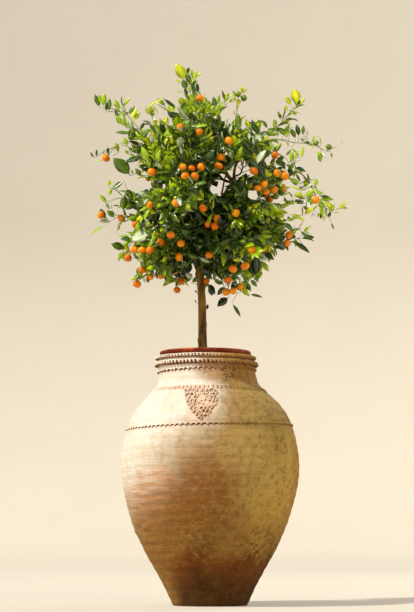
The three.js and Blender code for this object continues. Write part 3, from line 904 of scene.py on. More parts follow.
# %% Chips on the soil
def blob_template(rings, sides):
    """Points and faces of a small closed round form, one unit in radius."""
    rows = [ring(circle(sides), np.sin(a), np.cos(a)) for a in np.linspace(np.pi - 0.25, 0.25, rings)]
    return turned(rows)


def scatter(template, places, stretches, spins, seed, unevenness):
    """Copies of a small form, each stretched, spun, made uneven and set down in its place."""
    base, parts = template
    base = base.reshape(-1, 3)
    rng = np.random.default_rng(seed)
    copies = len(places)
    points = base[None] * (1 + unevenness * rng.uniform(-1, 1, (copies, len(base), 1)))
    points = points * stretches[:, None, :]
    points = np.einsum("nij,nkj->nki", spins, points) + places[:, None, :]
    shift = (np.arange(copies) * len(base))[:, None, None]
    return points, [(part[None] + shift).reshape(-1, part.shape[1]) for part in parts]


def spins(rng, count):
    """Random turning matrices."""
    turned_axes, _ = np.linalg.qr(rng.normal(size=(count, 3, 3)))
    turned_axes[:, :, 2] *= np.sign(np.linalg.det(turned_axes))[:, None]
    return turned_axes


CHIP_COUNT = 420
CHIP_REACH = 0.160      # how far from the soil's middle they lie


def soil_chips():
    rng = np.random.default_rng(43)
    count = CHIP_COUNT
    away = CHIP_REACH * np.sqrt(rng.uniform(0.05, 1, count))
    turn = rng.uniform(0, 2 * np.pi, count)
    places = np.stack([POT_X + away * np.cos(turn), away * np.sin(turn), np.zeros(count)], -1)
    places[:, 2] = SOIL_TOP + soil_swell(places + (0, 0, SOIL_TOP)) + 0.001
    size = rng.uniform(0.002, 0.0058, (count, 1)) * np.stack(
        [np.ones(count), rng.uniform(0.5, 1, count), rng.uniform(0.3, 0.7, count)], -1)
    points, faces = scatter(blob_template(4, 6), places, size, spins(rng, count), 44, 0.18)
    chips = two_toned("bark_chips", (70, 48, 32), (142, 112, 80), 0.9, 0.25,
                      mottle=(40, 3, 0.6), relief=(260, 3, 0.6), depth=0.001, strength=0.7)
    make_piece("soil_chips", points, faces, [chips], "soil")


soil_chips()

# %% [markdown]
# ## Reading the frame
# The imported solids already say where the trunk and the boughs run, and how far the foliage reaches. So the
# tree is grown from them: a limb's axis is read from its solid, and a mass of foliage is a search tree that
# tells how deep a point lies inside it.

# %% Limbs and masses from the frame
UP = np.array((0.0, 0.0, 1.0))
HEART = np.array((-0.005, 0.0, 1.620))    # the middle of the crown
MASSES = sorted(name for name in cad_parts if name.startswith("leaves_"))
BOUGHS = sorted(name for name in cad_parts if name.startswith("bough_"))


def unit(vectors):
    return vectors / np.maximum(np.linalg.norm(vectors, axis=-1, keepdims=True), 1e-9)


def node_points(name):
    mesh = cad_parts[name].data
    points = np.empty(len(mesh.vertices) * 3, np.float32)
    mesh.vertices.foreach_get("co", points)
    return points.reshape(-1, 3).astype(float)


def search_tree(name):
    faces = [tuple(face.vertices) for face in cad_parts[name].data.polygons]
    return BVHTree.FromPolygons([tuple(point) for point in node_points(name)], faces)


TREES = {name: search_tree(name) for name in MASSES}
BOXES = {name: (node_points(name).min(0), node_points(name).max(0)) for name in MASSES}


def depth_in(name, point):
    """How deep the point lies in the mass, in metres; less than 0 outside it."""
    place, normal, _, away = TREES[name].find_nearest(point)
    inward = sum((point[axis] - place[axis]) * normal[axis] for axis in range(3)) < 0
    return away if inward else -away


def depth(point):
    """How deep the point lies in the foliage as a whole."""
    deepest = -1.0
    for name, (low, high) in BOXES.items():
        if (point > low).all() and (point < high).all():
            deepest = max(deepest, depth_in(name, point))
    return deepest


print(len(MASSES), "masses of foliage on", len(BOUGHS), "boughs")

# %% [markdown]
# ## Bark
# An old citrus stem is grey-brown with an olive tinge, nearly smooth, and split by fine upright furrows. A
# limb is a tube along its axis. Its radius swells at the root and at the joints, and noise stretched along
# the limb cuts the furrows, so its outline is never a plain tube's.

# %% Bark finish
TINTS.update({"bark furrow": (62, 40, 8), "bark": (132, 98, 36), "olive bark": (98, 82, 24),
              "bark fleck": (150, 130, 92)})


def bark_finish():
    bark = Finish("citrus_bark", 0.85, Specular_IOR_Level=0.3)
    streaks = bark.noise(60, 5, 0.65, stretch=(1, 1, 0.16))
    grain = bark.noise(420, 4, 0.7)
    bark.ground(bark.rise(streaks, 0.34, 0.66), "bark furrow", "bark")
    bark.coat(0.55 * bark.rise(bark.noise(11, 4, 0.6), 0.5, 0.68), "olive bark")
    bark.coat(0.35 * bark.rise(grain, 0.6, 0.75), "bark fleck")
    bark.feed(Roughness=0.7 + 0.25 * streaks)
    bark.bump(streaks + 0.4 * grain, 0.002, 0.8)
    return bark.material


BARK = bark_finish()
print("bark has", len(BARK.node_tree.nodes), "nodes")

# %% Tubes
def tube_frames(axis):
    """Two directions square to a line of points at each of them, turning as little as can be."""
    along = unit(np.gradient(axis, axis=0))
    side = unit(np.cross(along[0], (0.3, 1.0, 0.1)))
    sides = []
    for direction in along:
        side = unit(side - direction * side.dot(direction))
        sides.append(side)
    sides = np.array(sides)
    return sides, np.cross(along, sides)


def tube_rows(axis, radii, turns):
    """Rings of points round an axis; radii is one for each ring, or one for each point."""
    across, over = tube_frames(axis)
    radii = np.broadcast_to(np.asarray(radii).reshape(len(axis), -1), (len(axis), len(turns)))
    ring_way = across[:, None] * np.cos(turns)[None, :, None] + over[:, None] * np.sin(turns)[None, :, None]
    return axis[:, None] + ring_way * radii[..., None]


def joined(forms):
    """Many turned forms as one: their points, and the faces of all their sides and of all their ends."""
    first = np.cumsum([0] + [rows.size // 3 for rows, _ in forms])
    moved = [[part + start for part in faces] for (_, faces), start in zip(forms, first)]
    points = np.concatenate([rows.reshape(-1, 3) for rows, _ in forms])
    ends = [part for faces in moved for part in faces[1:]]
    return points, [np.concatenate([faces[0] for faces in moved]), np.concatenate(ends)]


# %% Trunk
STEM_AXIS = np.array([(STEM_X, SOIL_TOP), (-0.031, 1.100), (-0.033, 1.217), (-0.039, 1.310), (-0.034, 1.440)])
STEM_BASE = 0.017
STEM_FLARE = 0.027
STEM_FORK = 0.014
BARK_KNOTS = ((1.052, 0.6), (1.118, 2.9), (1.171, 4.4), (1.232, 1.7), (1.268, 3.6))   # height and turn


def furrows(turns, lengths, radii, seed):
    """Bark relief: fine ridges that run along the limb, as heights in metres."""
    place = np.stack([0.05 * np.cos(turns)[None, :] + 0 * lengths[:, None],
                      0.05 * np.sin(turns)[None, :] + 0 * lengths[:, None],
                      0.10 * lengths[:, None] + 0 * turns[None, :]], -1)
    fine = lumps(place, (0.012, 0.012, 0.0065), seed)
    coarse = lumps(place, (0.03, 0.03, 0.016), seed + 1)
    size = np.clip(radii / 0.017, 0.35, 1.4)[:, None]
    return size * (0.0009 * coarse + 0.0008 * (0.35 - np.abs(fine)) + 0.0005 * fine * coarse)


def stem_rows():
    sides, count = 48, 190
    heights = np.linspace(SOIL_TOP - 0.004, STEM_AXIS[-1, 1] + 0.012, count)
    lean = curve_through(STEM_AXIS, np.clip(heights, SOIL_TOP, STEM_AXIS[-1, 1]))
    axis = np.stack([lean, 0 * heights, heights], -1)
    axis[:, 1] = 0.0025 * np.sin((heights - SOIL_TOP) * 14) * step(heights, 1.0, 1.1)
    share = np.clip((heights - SOIL_TOP) / (STEM_AXIS[-1, 1] - SOIL_TOP), 0, 1)
    radii = STEM_BASE + (STEM_FORK - STEM_BASE) * share + (STEM_FLARE - STEM_BASE) * np.exp(-14 * share)
    radii[-6:] *= np.sqrt(1 - np.linspace(0, 0.97, 6) ** 2)
    turns = circle(sides)
    relief = furrows(turns, heights, radii, 51)
    relief += 0.0032 * np.exp(-22 * share)[:, None] * np.sin(5 * turns + 0.8)[None, :]
    for height, turn in BARK_KNOTS:
        around = (turns - turn + np.pi) % (2 * np.pi) - np.pi
        away = np.hypot((heights[:, None] - height) / 0.010, around[None, :] * 0.017 / 0.008)
        relief += 0.0038 * np.exp(-away ** 2) - 0.0022 * np.exp(-(away / 0.4) ** 2)
    return axis, tube_rows(axis, radii[:, None] + relief, turns)


stem_axis, stem_surface = stem_rows()
make_piece("trunk", *turned(stem_surface), [BARK], "bark", ["stem"])

# %% Boughs
BOUGH_STEP = 0.006
BOUGH_BASE = 0.0088       # a bough's radius where it leaves the stem
LEADER_BASE = 0.0105      # the same for the boughs that leave it at its top
LEADER_FROM = 1.41
BOUGH_TIP = 0.0040


def bough_axis(name):
    """A bough's middle line, from the stem's heart to the tip of its solid, and its radii."""
    points = node_points(name)
    off_stem = np.hypot(points[:, 0] - STEM_AXIS[3, 0], points[:, 1])
    order = np.argsort(off_stem)
    tip = points[order[-10:]].mean(0)
    root = points[order[:8]].mean(0)
    height = root[2] - 0.012
    start = np.array((np.interp(height, STEM_AXIS[:, 1], STEM_AXIS[:, 0]), 0.0, height))
    length = norm(tip - start)
    knee = (start + tip) / 2 + UP * 0.12 * length
    share = np.linspace(0, 1, int(length / BOUGH_STEP))[:, None]
    axis = (1 - share) ** 2 * start + 2 * share * (1 - share) * knee + share ** 2 * tip
    ripple = np.stack([lumps(axis, 0.045, seed) for seed in (61, 62, 63)], -1)
    axis = axis + 0.0045 * ripple * np.sin(np.pi * share)
    share = share[:, 0]
    radius = (LEADER_BASE if height > LEADER_FROM else BOUGH_BASE) * (1 - share) + BOUGH_TIP * share
    return axis, radius + 0.0045 * np.exp(-(share * length / 0.022))


def boughs():
    """Makes the boughs, and gives their middle lines with their radii."""
    turns = circle(20)
    lines = [bough_axis(name) for name in BOUGHS]
    forms = []
    for number, (axis, radius) in enumerate(lines):
        relief = furrows(turns, np.arange(len(axis)) * BOUGH_STEP, radius, 70 + number)
        forms.append(turned(tube_rows(axis, radius[:, None] + relief, turns)))
    make_piece("boughs", *joined(forms), [BARK], "bark", BOUGHS)
    return lines


bough_lines = boughs()

# %% [markdown]
# ## Where the eye sees
# Some things are known only from one side: the gaps in the crown, its outer shoots, and the fruits and bright
# leaves at the front. They are given as places in the picture, which is 414 by 612 pixels. A point is
# carried to the picture by the camera's own geometry, and back again as a line of sight.

# %% Sight lines
PICTURE_SIZE = (414, 612)
PIXEL = 0.004     # a pixel at the tree, in metres
SIGHT = PICTURE_SIZE[1] * CAMERA_LENS / CAMERA_SENSOR     # pixels to the picture plane
FORWARD = np.array((0.0, math.cos(CAMERA_TILT), math.sin(CAMERA_TILT)))
OVERHEAD = np.array((0.0, -math.sin(CAMERA_TILT), math.cos(CAMERA_TILT)))


def in_picture(points):
    """Pixel coordinates of points, from the top left corner."""
    ray = np.asarray(points) - EYE
    ahead = ray @ FORWARD
    return np.stack([PICTURE_SIZE[0] / 2 + SIGHT * ray[..., 0] / ahead,
                     PICTURE_SIZE[1] / 2 - SIGHT * (ray @ OVERHEAD) / ahead], -1)


def sight_line(pixel):
    """The direction in which the camera sees a pixel."""
    right = (pixel[0] - PICTURE_SIZE[0] / 2) / SIGHT
    up = (PICTURE_SIZE[1] / 2 - pixel[1]) / SIGHT
    return unit(FORWARD + up * OVERHEAD + right * np.array((1.0, 0.0, 0.0)))


def beside(points, start, way):
    """How far along a line the points lie, and how far off it."""
    ray = points - np.asarray(start)
    along = ray @ way
    return along, norm(ray - along[:, None] * way)


print("the origin is seen at", in_picture(np.zeros(3)).round(1))

# %% Gaps
# the gaps, as the pixels of their middle and their half width and half height, first inside the crown
GAPS = (
    (214, 190, 7, 5), (221, 182, 7, 7), (228, 177, 6, 7), (237, 174, 7, 6), (246, 167, 8, 5),
    (252, 173, 4, 6), (236, 166, 4, 3), (254, 194, 9, 5), (262, 197, 4, 4), (275, 199, 10, 4),
    (284, 203, 5, 2), (294, 207, 7, 4), (137, 187, 20, 5), (132, 211, 8, 4), (283, 150, 4, 4),
    (297, 214, 4, 3), (163, 278, 4, 3), (128, 227, 8, 6), (112, 227, 6, 4), (118, 238, 5, 3),
    (116, 137, 5, 6), (117, 124, 6, 3), (113, 149, 3, 5), (124, 155, 3, 5), (164, 187, 3, 7),
    (163, 176, 2, 4), (146, 173, 5, 3), (146, 181, 8, 3), (269, 158, 4, 9), (258, 157, 3, 3),
    (266, 163, 3, 3), (278, 165, 3, 3), (286, 184, 3, 4), (290, 209, 4, 4), (297, 223, 4, 3),
    (249, 137, 3, 5), (193, 268, 4, 4), (163, 116, 3, 4), (145, 113, 3, 2), (210, 124, 2, 5),
    # and then the open sky close round it
    (84, 101, 9, 9), (208, 90, 4, 7), (237, 85, 4, 4), (147, 295, 17, 8), (184, 300, 7, 9),
    (270, 281, 9, 9), (316, 248, 7, 8), (112, 254, 10, 5), (171, 97, 9, 4), (282, 106, 5, 4),
    (131, 84, 20, 9), (298, 260, 14, 10), (252, 115, 11, 5), (263, 128, 3, 5), (243, 126, 4, 6),
    (227, 117, 8, 3), (211, 97, 3, 6), (245, 99, 3, 4), (100, 163, 9, 3), (305, 226, 4, 3),
    (305, 238, 4, 2), (279, 250, 4, 3), (273, 265, 3, 4), (264, 275, 4, 6), (256, 286, 5, 3),
    (249, 289, 5, 3), (134, 266, 4, 5), (129, 285, 5, 4), (155, 284, 10, 4), (167, 287, 5, 4),
    (141, 290, 3, 4), (242, 301, 7, 6), (270, 268, 5, 4), (171, 288, 5, 4), (227, 110, 5, 4),
    (118, 193, 5, 3),
)


def in_gap(points, widen=1.0):
    """Which points the camera would see inside one of the gaps."""
    pixels = in_picture(points)
    hit = np.zeros(len(pixels), bool)
    for across, down, half_width, half_height in GAPS:
        away = ((pixels[:, 0] - across) / half_width) ** 2 + ((pixels[:, 1] - down) / half_height) ** 2
        hit |= away < widen
    return hit


print(len(GAPS), "gaps")

# %% [markdown]
# ## Growing the twigs
# A crown fills its light: each bud grows towards free space and stops where there is none. Space
# colonization copies that. Thousands of points of light are strewn through the masses of foliage, each
# pulls on the nearest bud, every pulled bud grows one step towards its light, and a point is used up when a
# twig comes near. The twigs start on the boughs, reach every outer shoot, and never come out as a fixed
# pattern. The seed keeps the same tree on every run.

# %% Strew the light
LIGHT_SPACING = 0.0265
TIP_ROOM = 0.026      # the leaves at the end of a twig reach this much further
CROWN_MIDDLE = np.array((0.0, 0.0, 1.700))
CROWN_HALF = np.array((0.40, 0.37, 0.38))
BODY = tuple("leaves_" + part for part in ("skirt", "waist", "shoulder", "cap", "front", "back"))


def light_in(name, rng):
    """Points of light strewn through one mass, away from its skin."""
    low, high = BOXES[name]
    spacing = LIGHT_SPACING * (1.0 if name.startswith(BODY) else 1.16)
    points = rng.uniform(low, high, (int(np.prod(high - low) / spacing ** 3), 3))
    kept = [point for point in points if depth_in(name, point) > 0.004
            and depth(point + TIP_ROOM * unit(point - HEART)) > 0]
    tip = max(node_points(name), key=lambda point: norm(point - HEART))
    return kept + [tip - 1.2 * TIP_ROOM * unit(tip - HEART)]


def light_between(rng):
    """Light in the hollows between the shoots, where the crown's body lies before or behind it."""
    count = int(np.prod(2 * CROWN_HALF) / (1.25 * LIGHT_SPACING) ** 3)
    points = rng.uniform(-CROWN_HALF, CROWN_HALF, (count, 3))
    share = norm(points / CROWN_HALF)
    points = points[(share < 1) & (share > 0.45)] + CROWN_MIDDLE
    trees = [tree for name, tree in TREES.items() if name.startswith(BODY)]
    return [point for point in points
            if any(tree.ray_cast(EYE, unit(point - EYE))[0] for tree in trees)]

# %% [markdown]
# ## Shoots that stand out
# Some young shoots stand clear of the crown and give the tree its outline. No rule can guess them, so
# each is drawn as a line of places in the picture, from its foot to its tip, and laid in the solid that
# keeps its place. Light strewn along the line, and a little beside it, leads the growth there, so a
# drawn shoot is made of the same wood and leaves as the rest.

# %% Shoots
SHOOTS = (
    ("left_horn", ((140, 140), (135, 134), (124, 127), (116, 119), (109, 113), (103, 108), (99, 101))),
    ("left_horn_inner", ((139, 140), (134, 131), (128, 122), (125, 113), (122, 106))),
    ("left_horn_inner", ((160, 137), (155, 127), (152, 119), (151, 111))),
    ("left_high", ((157, 160), (147, 156), (137, 153), (125, 153), (116, 155), (108, 159), (101, 160),
                          (94, 158))),
    ("left_middle", ((154, 188), (140, 183), (125, 181), (117, 185), (112, 191), (110, 199), (107, 205))),
    ("left_low", ((157, 202), (146, 208), (135, 212), (125, 217), (116, 220), (108, 223))),
    ("top", ((201, 122), (198, 108), (195, 97), (193, 88), (190, 80), (189, 75))),
    ("crest_sprig", ((205, 122), (215, 113), (223, 107), (231, 101), (238, 96), (242, 90))),
    ("right_horn", ((256, 148), (265, 139), (272, 133), (280, 125), (287, 118), (292, 110), (297, 104))),
    ("right_reach", ((253, 148), (266, 142), (279, 139), (292, 140), (303, 143), (313, 145), (324, 149),
                            (330, 151))),
    ("right_high", ((266, 146), (280, 153), (291, 165), (299, 175), (306, 184))),
    ("right_far", ((270, 200), (287, 202), (303, 199), (318, 199), (322, 210), (326, 216))),
    ("right_far", ((322, 210), (332, 211), (339, 208))),
    ("right_skirt", ((260, 241), (275, 243), (289, 241), (300, 244), (307, 249))),
    ("right_skirt", ((268, 236), (283, 231), (296, 230), (306, 233))),
    ("shoulder_1", ((200, 197), (207, 189), (216, 181), (226, 171), (235, 162))),
    ("hem_sprig", ((240, 283), (246, 293), (240, 298), (232, 302))),
)
print(len(SHOOTS), "shoots")

# %% Light along the shoots
SHOOT_LIGHTS = 0.008      # from one light to the next on a shoot
SIDE_LIGHTS = (0.012, 0.032)


def shoot_line(name, pixels):
    """Points along a shoot, at the depth of the solid that keeps its place."""
    corners = node_points(name)
    seen = in_picture(corners)
    ahead = norm(corners - EYE)
    bends = []
    for pixel in pixels:
        weight = 1 / (1 + norm(seen - pixel) ** 4)
        bends.append(EYE + sight_line(pixel) * (weight @ ahead) / weight.sum())
    bends = np.array(bends)
    run = np.concatenate([[0], np.cumsum(norm(np.diff(bends, axis=0)))])
    places = np.arange(0, run[-1], SHOOT_LIGHTS)
    return np.stack([np.interp(places, run, bends[:, axis]) for axis in range(3)], -1)


def light_along(rng):
    lights = []
    for name, pixels in SHOOTS:
        line = shoot_line("leaves_" + name, pixels)
        lights += list(line + rng.normal(0, 0.0015, line.shape))
        outer = line[len(line) // 4:-2]
        outer = outer[rng.uniform(size=len(outer)) < 0.55]
        aside = unit(rng.normal(size=outer.shape)) * rng.uniform(*SIDE_LIGHTS, (len(outer), 1))
        lights += list(outer + aside)
    return lights


def strew_light():
    rng = np.random.default_rng(101)
    drawn = {"leaves_" + name for name, _ in SHOOTS}
    drawn = {name for name in drawn if not name.startswith(BODY)}
    lights = [light for name in MASSES if name not in drawn for light in light_in(name, rng)]
    lights = np.array(lights + light_between(rng))
    return np.concatenate([lights[~in_gap(lights)], light_along(rng)])


lights = strew_light()
print(len(lights), "points of light")

# %% A growing tree
TWIG_STEP = 0.013
USED_UP = 0.019


class Twigs:
    """A growing tree of points: each has a place and a parent."""

    def __init__(self, places, radii):
        self.places = places
        self.parents = np.full(len(places), -1)
        self.roots = len(places)
        self.root_radii = radii

    def grow(self, lights, rounds, rng):
        """Grows towards the lights, step by step, and gives how many lights are left."""
        nearest = np.full(len(lights), 9.0)
        bud = np.zeros(len(lights), int)
        fresh = np.arange(len(self.places))
        spent = np.zeros(len(self.places), bool)     # buds that can grow no further
        last_child = {}
        for _ in range(rounds):
            # each light finds the bud nearest to it, and is used up if that bud is close
            for chunk in np.array_split(fresh, max(1, len(fresh) // 200)):
                if not len(chunk):
                    continue
                away = norm(lights[:, None] - self.places[chunk][None])
                best = away.argmin(1)
                closer = away[np.arange(len(lights)), best] < nearest
                nearest[closer] = away[closer, best[closer]]
                bud[closer] = chunk[best[closer]]
            alive = nearest > USED_UP
            lights, nearest, bud = lights[alive], nearest[alive], bud[alive]
            awake = ~spent[bud]
            if not awake.any():
                break
            # each bud turns towards its lights together, a little up, and on along its own way
            pull = np.zeros_like(self.places)
            np.add.at(pull, bud[awake], unit(lights - self.places[bud])[awake])
            growing = np.unique(bud[awake])
            has_parent = self.parents[growing] >= 0
            came = np.zeros((len(growing), 3))
            came[has_parent] = unit(self.places[growing] - self.places[self.parents[growing]])[has_parent]
            way = unit(unit(pull[growing]) + 0.55 * came + 0.08 * UP + rng.normal(0, 0.16, came.shape))
            new = self.places[growing] + TWIG_STEP * way
            # a bud is spent when it would grow the same twig again, or into a gap
            stuck = np.array([b in last_child and norm(last_child[b] - place) < 0.6 * TWIG_STEP
                              for b, place in zip(growing, new)])
            stuck |= in_gap(new) & ~in_gap(self.places[growing])
            spent[growing[stuck]] = True
            growing, new = growing[~stuck], new[~stuck]
            last_child.update(zip(growing, new))
            fresh = np.arange(len(self.places), len(self.places) + len(new))
            self.places = np.concatenate([self.places, new])
            self.parents = np.concatenate([self.parents, growing])
            spent = np.concatenate([spent, np.zeros(len(new), bool)])
        return len(lights)

    def thicken(self, tip, power):
        """Each twig is as thick as its children together, as its pipes must carry all their sap."""
        load = np.zeros(len(self.places))
        for point in range(len(self.places) - 1, self.roots - 1, -1):
            load[point] = max(load[point], tip ** power)
            load[self.parents[point]] += load[point]
        self.radii = np.maximum(load, tip ** power) ** (1 / power)
        self.radii[:self.roots] = self.root_radii
        self.load = load

    def heirs(self):
        """For each point, the child that carries on its line: the one with the most to carry."""
        heir = np.full(len(self.places), -1)
        for point in range(self.roots, len(self.places)):
            parent = self.parents[point]
            if parent >= self.roots and (heir[parent] < 0 or self.load[point] > self.load[heir[parent]]):
                heir[parent] = point
        return heir

    def smooth(self, passes):
        heir = self.heirs()
        inner = np.flatnonzero((heir >= 0) & (self.parents >= 0))
        for _ in range(passes):
            middle = (self.places[self.parents[inner]] + self.places[heir[inner]]) / 2
            self.places[inner] += 0.5 * (middle - self.places[inner])

    def lines(self):
        """The tree as lines of points, each from its parent's line to a tip."""
        heir = self.heirs()
        starts = [point for point in range(self.roots, len(self.places))
                  if self.parents[point] < self.roots or heir[self.parents[point]] != point]
        lines = []
        for point in starts:
            line = [self.parents[point]]
            while point >= 0:
                line.append(point)
                point = heir[point]
            lines.append(np.array(line))
        return lines


# %% Grow the twigs
BOUGH_BARE = 0.22       # the share of a bough, from its foot, that bears no buds
BUDS_FROM = 1.415       # the stem bears buds above this height


def bud_places():
    places, radii = [], []
    for axis, radius in bough_lines:
        keep = slice(int(len(axis) * BOUGH_BARE), None, 2)
        places.append(axis[keep])
        radii.append(radius[keep])
    top = stem_axis[stem_axis[:, 2] > BUDS_FROM]
    places.append(top[::3])
    radii.append(np.full(len(top[::3]), STEM_FORK))
    return np.concatenate(places), np.concatenate(radii)


twigs = Twigs(*bud_places())
left = twigs.grow(lights, 160, np.random.default_rng(102))
twigs.thicken(0.0010, 2.45)
twigs.smooth(2)
twig_lines = twigs.lines()
print(len(twigs.places) - twigs.roots, "twig points on", len(twig_lines), "lines, with", left, "lights left")

# %% [markdown]
# ## Twigs as tubes
# Young citrus twigs are green and angular, and turn brown after a year or two. So each line becomes a tube
# with five sides, green while it is thin and bark-coloured where it is older.

# %% Twig meshes
GREEN_UNDER = 0.0023     # a twig thinner than this is still green
TUBE_SIDES = 5
GREEN_WOOD = two_toned("green_twigs", (74, 96, 30), (112, 132, 48), 0.5, 0.4,
                       mottle=(26, 3, 0.6), relief=(500, 2, 0.5), depth=0.0006, strength=0.5)


def tubes(lines):
    """Closed tubes along lines of points with radii: points, faces, and each face's radius."""
    points, faces = joined([turned(tube_rows(axis, radii, circle(TUBE_SIDES))) for axis, radii in lines])
    thick = [np.repeat((radii[1:] + radii[:-1]) / 2, TUBE_SIDES) for _, radii in lines]
    ends = np.repeat([radii.mean() for _, radii in lines], 2)
    return points, faces, np.concatenate([*thick, ends])


def stalk(start, end, sag, radii):
    """A line that droops a little between two points, with its radii."""
    share = np.linspace(0, 1, len(radii))[:, None]
    droop = UP * sag * norm(start - end) * np.sin(np.pi * share)
    return start + (end - start) * share + droop, np.array(radii)


CROSSING = ((203, 191), (230, 166))     # where the bare bough across the open middle starts and ends


def crossing_bough():
    """A bare side bough from a main bough to a twig beyond the open middle."""
    wood = np.concatenate([axis for axis, _ in bough_lines])
    start = wood[norm(in_picture(wood) - CROSSING[0]).argmin()]
    near = twigs.places[norm(in_picture(twigs.places) - CROSSING[1]) < 4]
    end = near[norm(near - start).argmin()]
    share = np.linspace(0, 1, 18)
    axis = start + (end - start) * share[:, None]
    bends = np.stack([lumps(axis, 0.05, seed) for seed in (64, 65, 66)], -1)
    print("the crossing bough is", round(1000 * norm(end - start)), "mm long")
    return axis + 0.004 * bends * np.sin(np.pi * share)[:, None], 0.0046 - 0.0022 * share


def twig_tubes():
    lines = [crossing_bough()]
    for line in twig_lines:
        axis = twigs.places[line]
        radii = twigs.radii[line].copy()
        radii[0] = radii[1] * 1.1
        if len(line) == 2:
            axis = np.stack([axis[0], axis.mean(0), axis[1]])
            radii = radii[[0, 1, 1]]
        radii[-1] *= 0.7
        lines.append((axis, np.minimum(radii, 0.0085)))
    points, faces, thick = tubes(lines)
    make_piece("twigs", points, faces, [BARK, GREEN_WOOD], "bark", [], thick < GREEN_UNDER)


twig_tubes()

# %% [markdown]
# ## One leaf
# A citrus leaf is a stiff, glossy, pointed oval on a short stalk. It folds up along its midrib, bends back
# towards its tip, and its edge waves a little. Thousands are needed, so the leaf is a small grid: seven
# stations along its length and three points across. The underside is a second grid that shares the rim, so
# each leaf is a closed form as thin as a real one.

# %% Leaf shape
LEAF_STATIONS = np.array((0.0, 0.12, 0.27, 0.46, 0.68, 0.87, 1.0))
LEAF_HALF_WIDTHS = np.array((0.012, 0.018, 0.172, 0.258, 0.226, 0.112, 0.004))
LEAF_COLUMNS = np.linspace(-1, 1, 3)
LEAF_THICKNESS = 0.0007


def leaf_shapes(length, width, fold, bend, wave, rng):
    """Local points of many leaves: x across, y along, z above the blade. One row of values per leaf."""
    count = len(length)
    length, width, fold, bend, wave = (value[:, None, None] for value in (length, width, fold, bend, wave))
    t = LEAF_STATIONS[None, :, None]
    s = LEAF_COLUMNS[None, None, :]
    half = LEAF_HALF_WIDTHS[None, :, None] * width
    phase = rng.uniform(0, 2 * np.pi, (count, 1, 1))
    lift = fold * np.abs(s) * half + wave * half * s ** 2 * np.sin(9 * t + phase + 1.3 * s)
    blade = np.clip((t - LEAF_STATIONS[1]) / (1 - LEAF_STATIONS[1]), 0, 1)
    drop = bend * blade ** 2
    across = s * half * (1 - 0.25 * fold) + 0.05 * np.sin(phase) * blade ** 2
    top = np.stack([across, t - 0.22 * drop * blade + 0 * s, lift - drop], -1)
    thick = LEAF_THICKNESS / length * (1 - np.abs(s)) ** 0.5 + 0 * across
    under = top - np.stack([0 * thick, 0 * thick, thick], -1)
    points = np.concatenate([top.reshape(count, -1, 3), under[:, 1:-1, 1:-1].reshape(count, -1, 3)], 1)
    return points * length


print("a leaf has", len(cushion_faces(len(LEAF_STATIONS), len(LEAF_COLUMNS))), "faces")

# %% Many leaves as one mesh
def leaf_mesh(leaves, rng):
    """The points and faces of many leaves, with 1 on the faces of the undersides."""
    shapes = leaf_shapes(*(leaves[key] for key in ("length", "width", "fold", "bend", "wave")), rng)
    along = unit(leaves["along"])
    normal = unit(leaves["normal"] - along * (leaves["normal"] * along).sum(-1, keepdims=True))
    across = np.cross(along, normal)
    turn = np.stack([across, along, normal], -1)
    points = np.einsum("nij,nkj->nki", turn, shapes) + leaves["base"][:, None]
    faces = cushion_faces(len(LEAF_STATIONS), len(LEAF_COLUMNS))
    under = np.arange(len(faces)) >= len(faces) // 2
    faces = faces[None] + (np.arange(len(points)) * points.shape[1])[:, None, None]
    return points, [faces.reshape(-1, 4)], np.tile(under, len(points))


# %% [markdown]
# ## Leaves on twigs
# Buds sit round a twig at the golden angle, so no leaf shades the one above it, and a twig ends in a tuft of
# two or three. Each leaf leans out of the twig, and turns its upper side to the light. Old inner leaves are
# dark, and outer ones mid green, and the tones also carry painted light: darker deep inside and low down, as
# painted shade, and brighter high up and on the two sides, as painted sunlight. The shoots of this year are
# lime, and their colour belongs to the whole spray, so each spray draws one tone for all its leaves. A few
# outer leaves are nearly white: a painted sheen that stands for the sun's glint on their wax.

# %% Tones of the sprays
TONES = ("deep", "dark", "mid", "fresh", "lime", "yellow", "pale")
# the outer shoots: how likely a spray is young, how much further apart its leaves sit, and how large they are
SHOOT_LEAVES = {
    "top": (0.9, 0.8, 0.8), "crest_left": (0.75, 1.0, 1.0), "crest_middle": (0.5, 1.0, 1.0),
    "crest_right": (0.5, 1.0, 1.0), "crest_sprig": (0.7, 1.2, 0.72), "left_horn": (0.9, 1.0, 0.95),
    "left_horn_inner": (0.85, 1.0, 0.9), "left_shoulder": (0.5, 1.0, 1.0), "right_reach": (0.65, 1.4, 0.74),
    "right_horn": (0.85, 0.9, 0.92), "right_high": (0.65, 0.9, 0.95), "right_middle": (0.6, 1.0, 1.0),
    "right_far": (0.9, 1.1, 0.86), "right_skirt": (0.55, 1.3, 0.85), "left_high": (0.5, 1.2, 0.72),
    "left_middle": (0.45, 1.2, 0.9), "left_low": (0.4, 1.2, 0.95), "hem_sprig": (None, 2.2, 0.85),
}
SHEEN_SHARE = 0.034      # how many of the outer leaves get a pale painted sheen

SUN = unit(np.array((-0.55, -0.35, 0.80)))     # the way to the light


def mass_of(point):
    """The mass of foliage in which the point lies deepest, as its name after leaves_."""
    return max(MASSES, key=lambda name: depth_in(name, point)).removeprefix("leaves_")


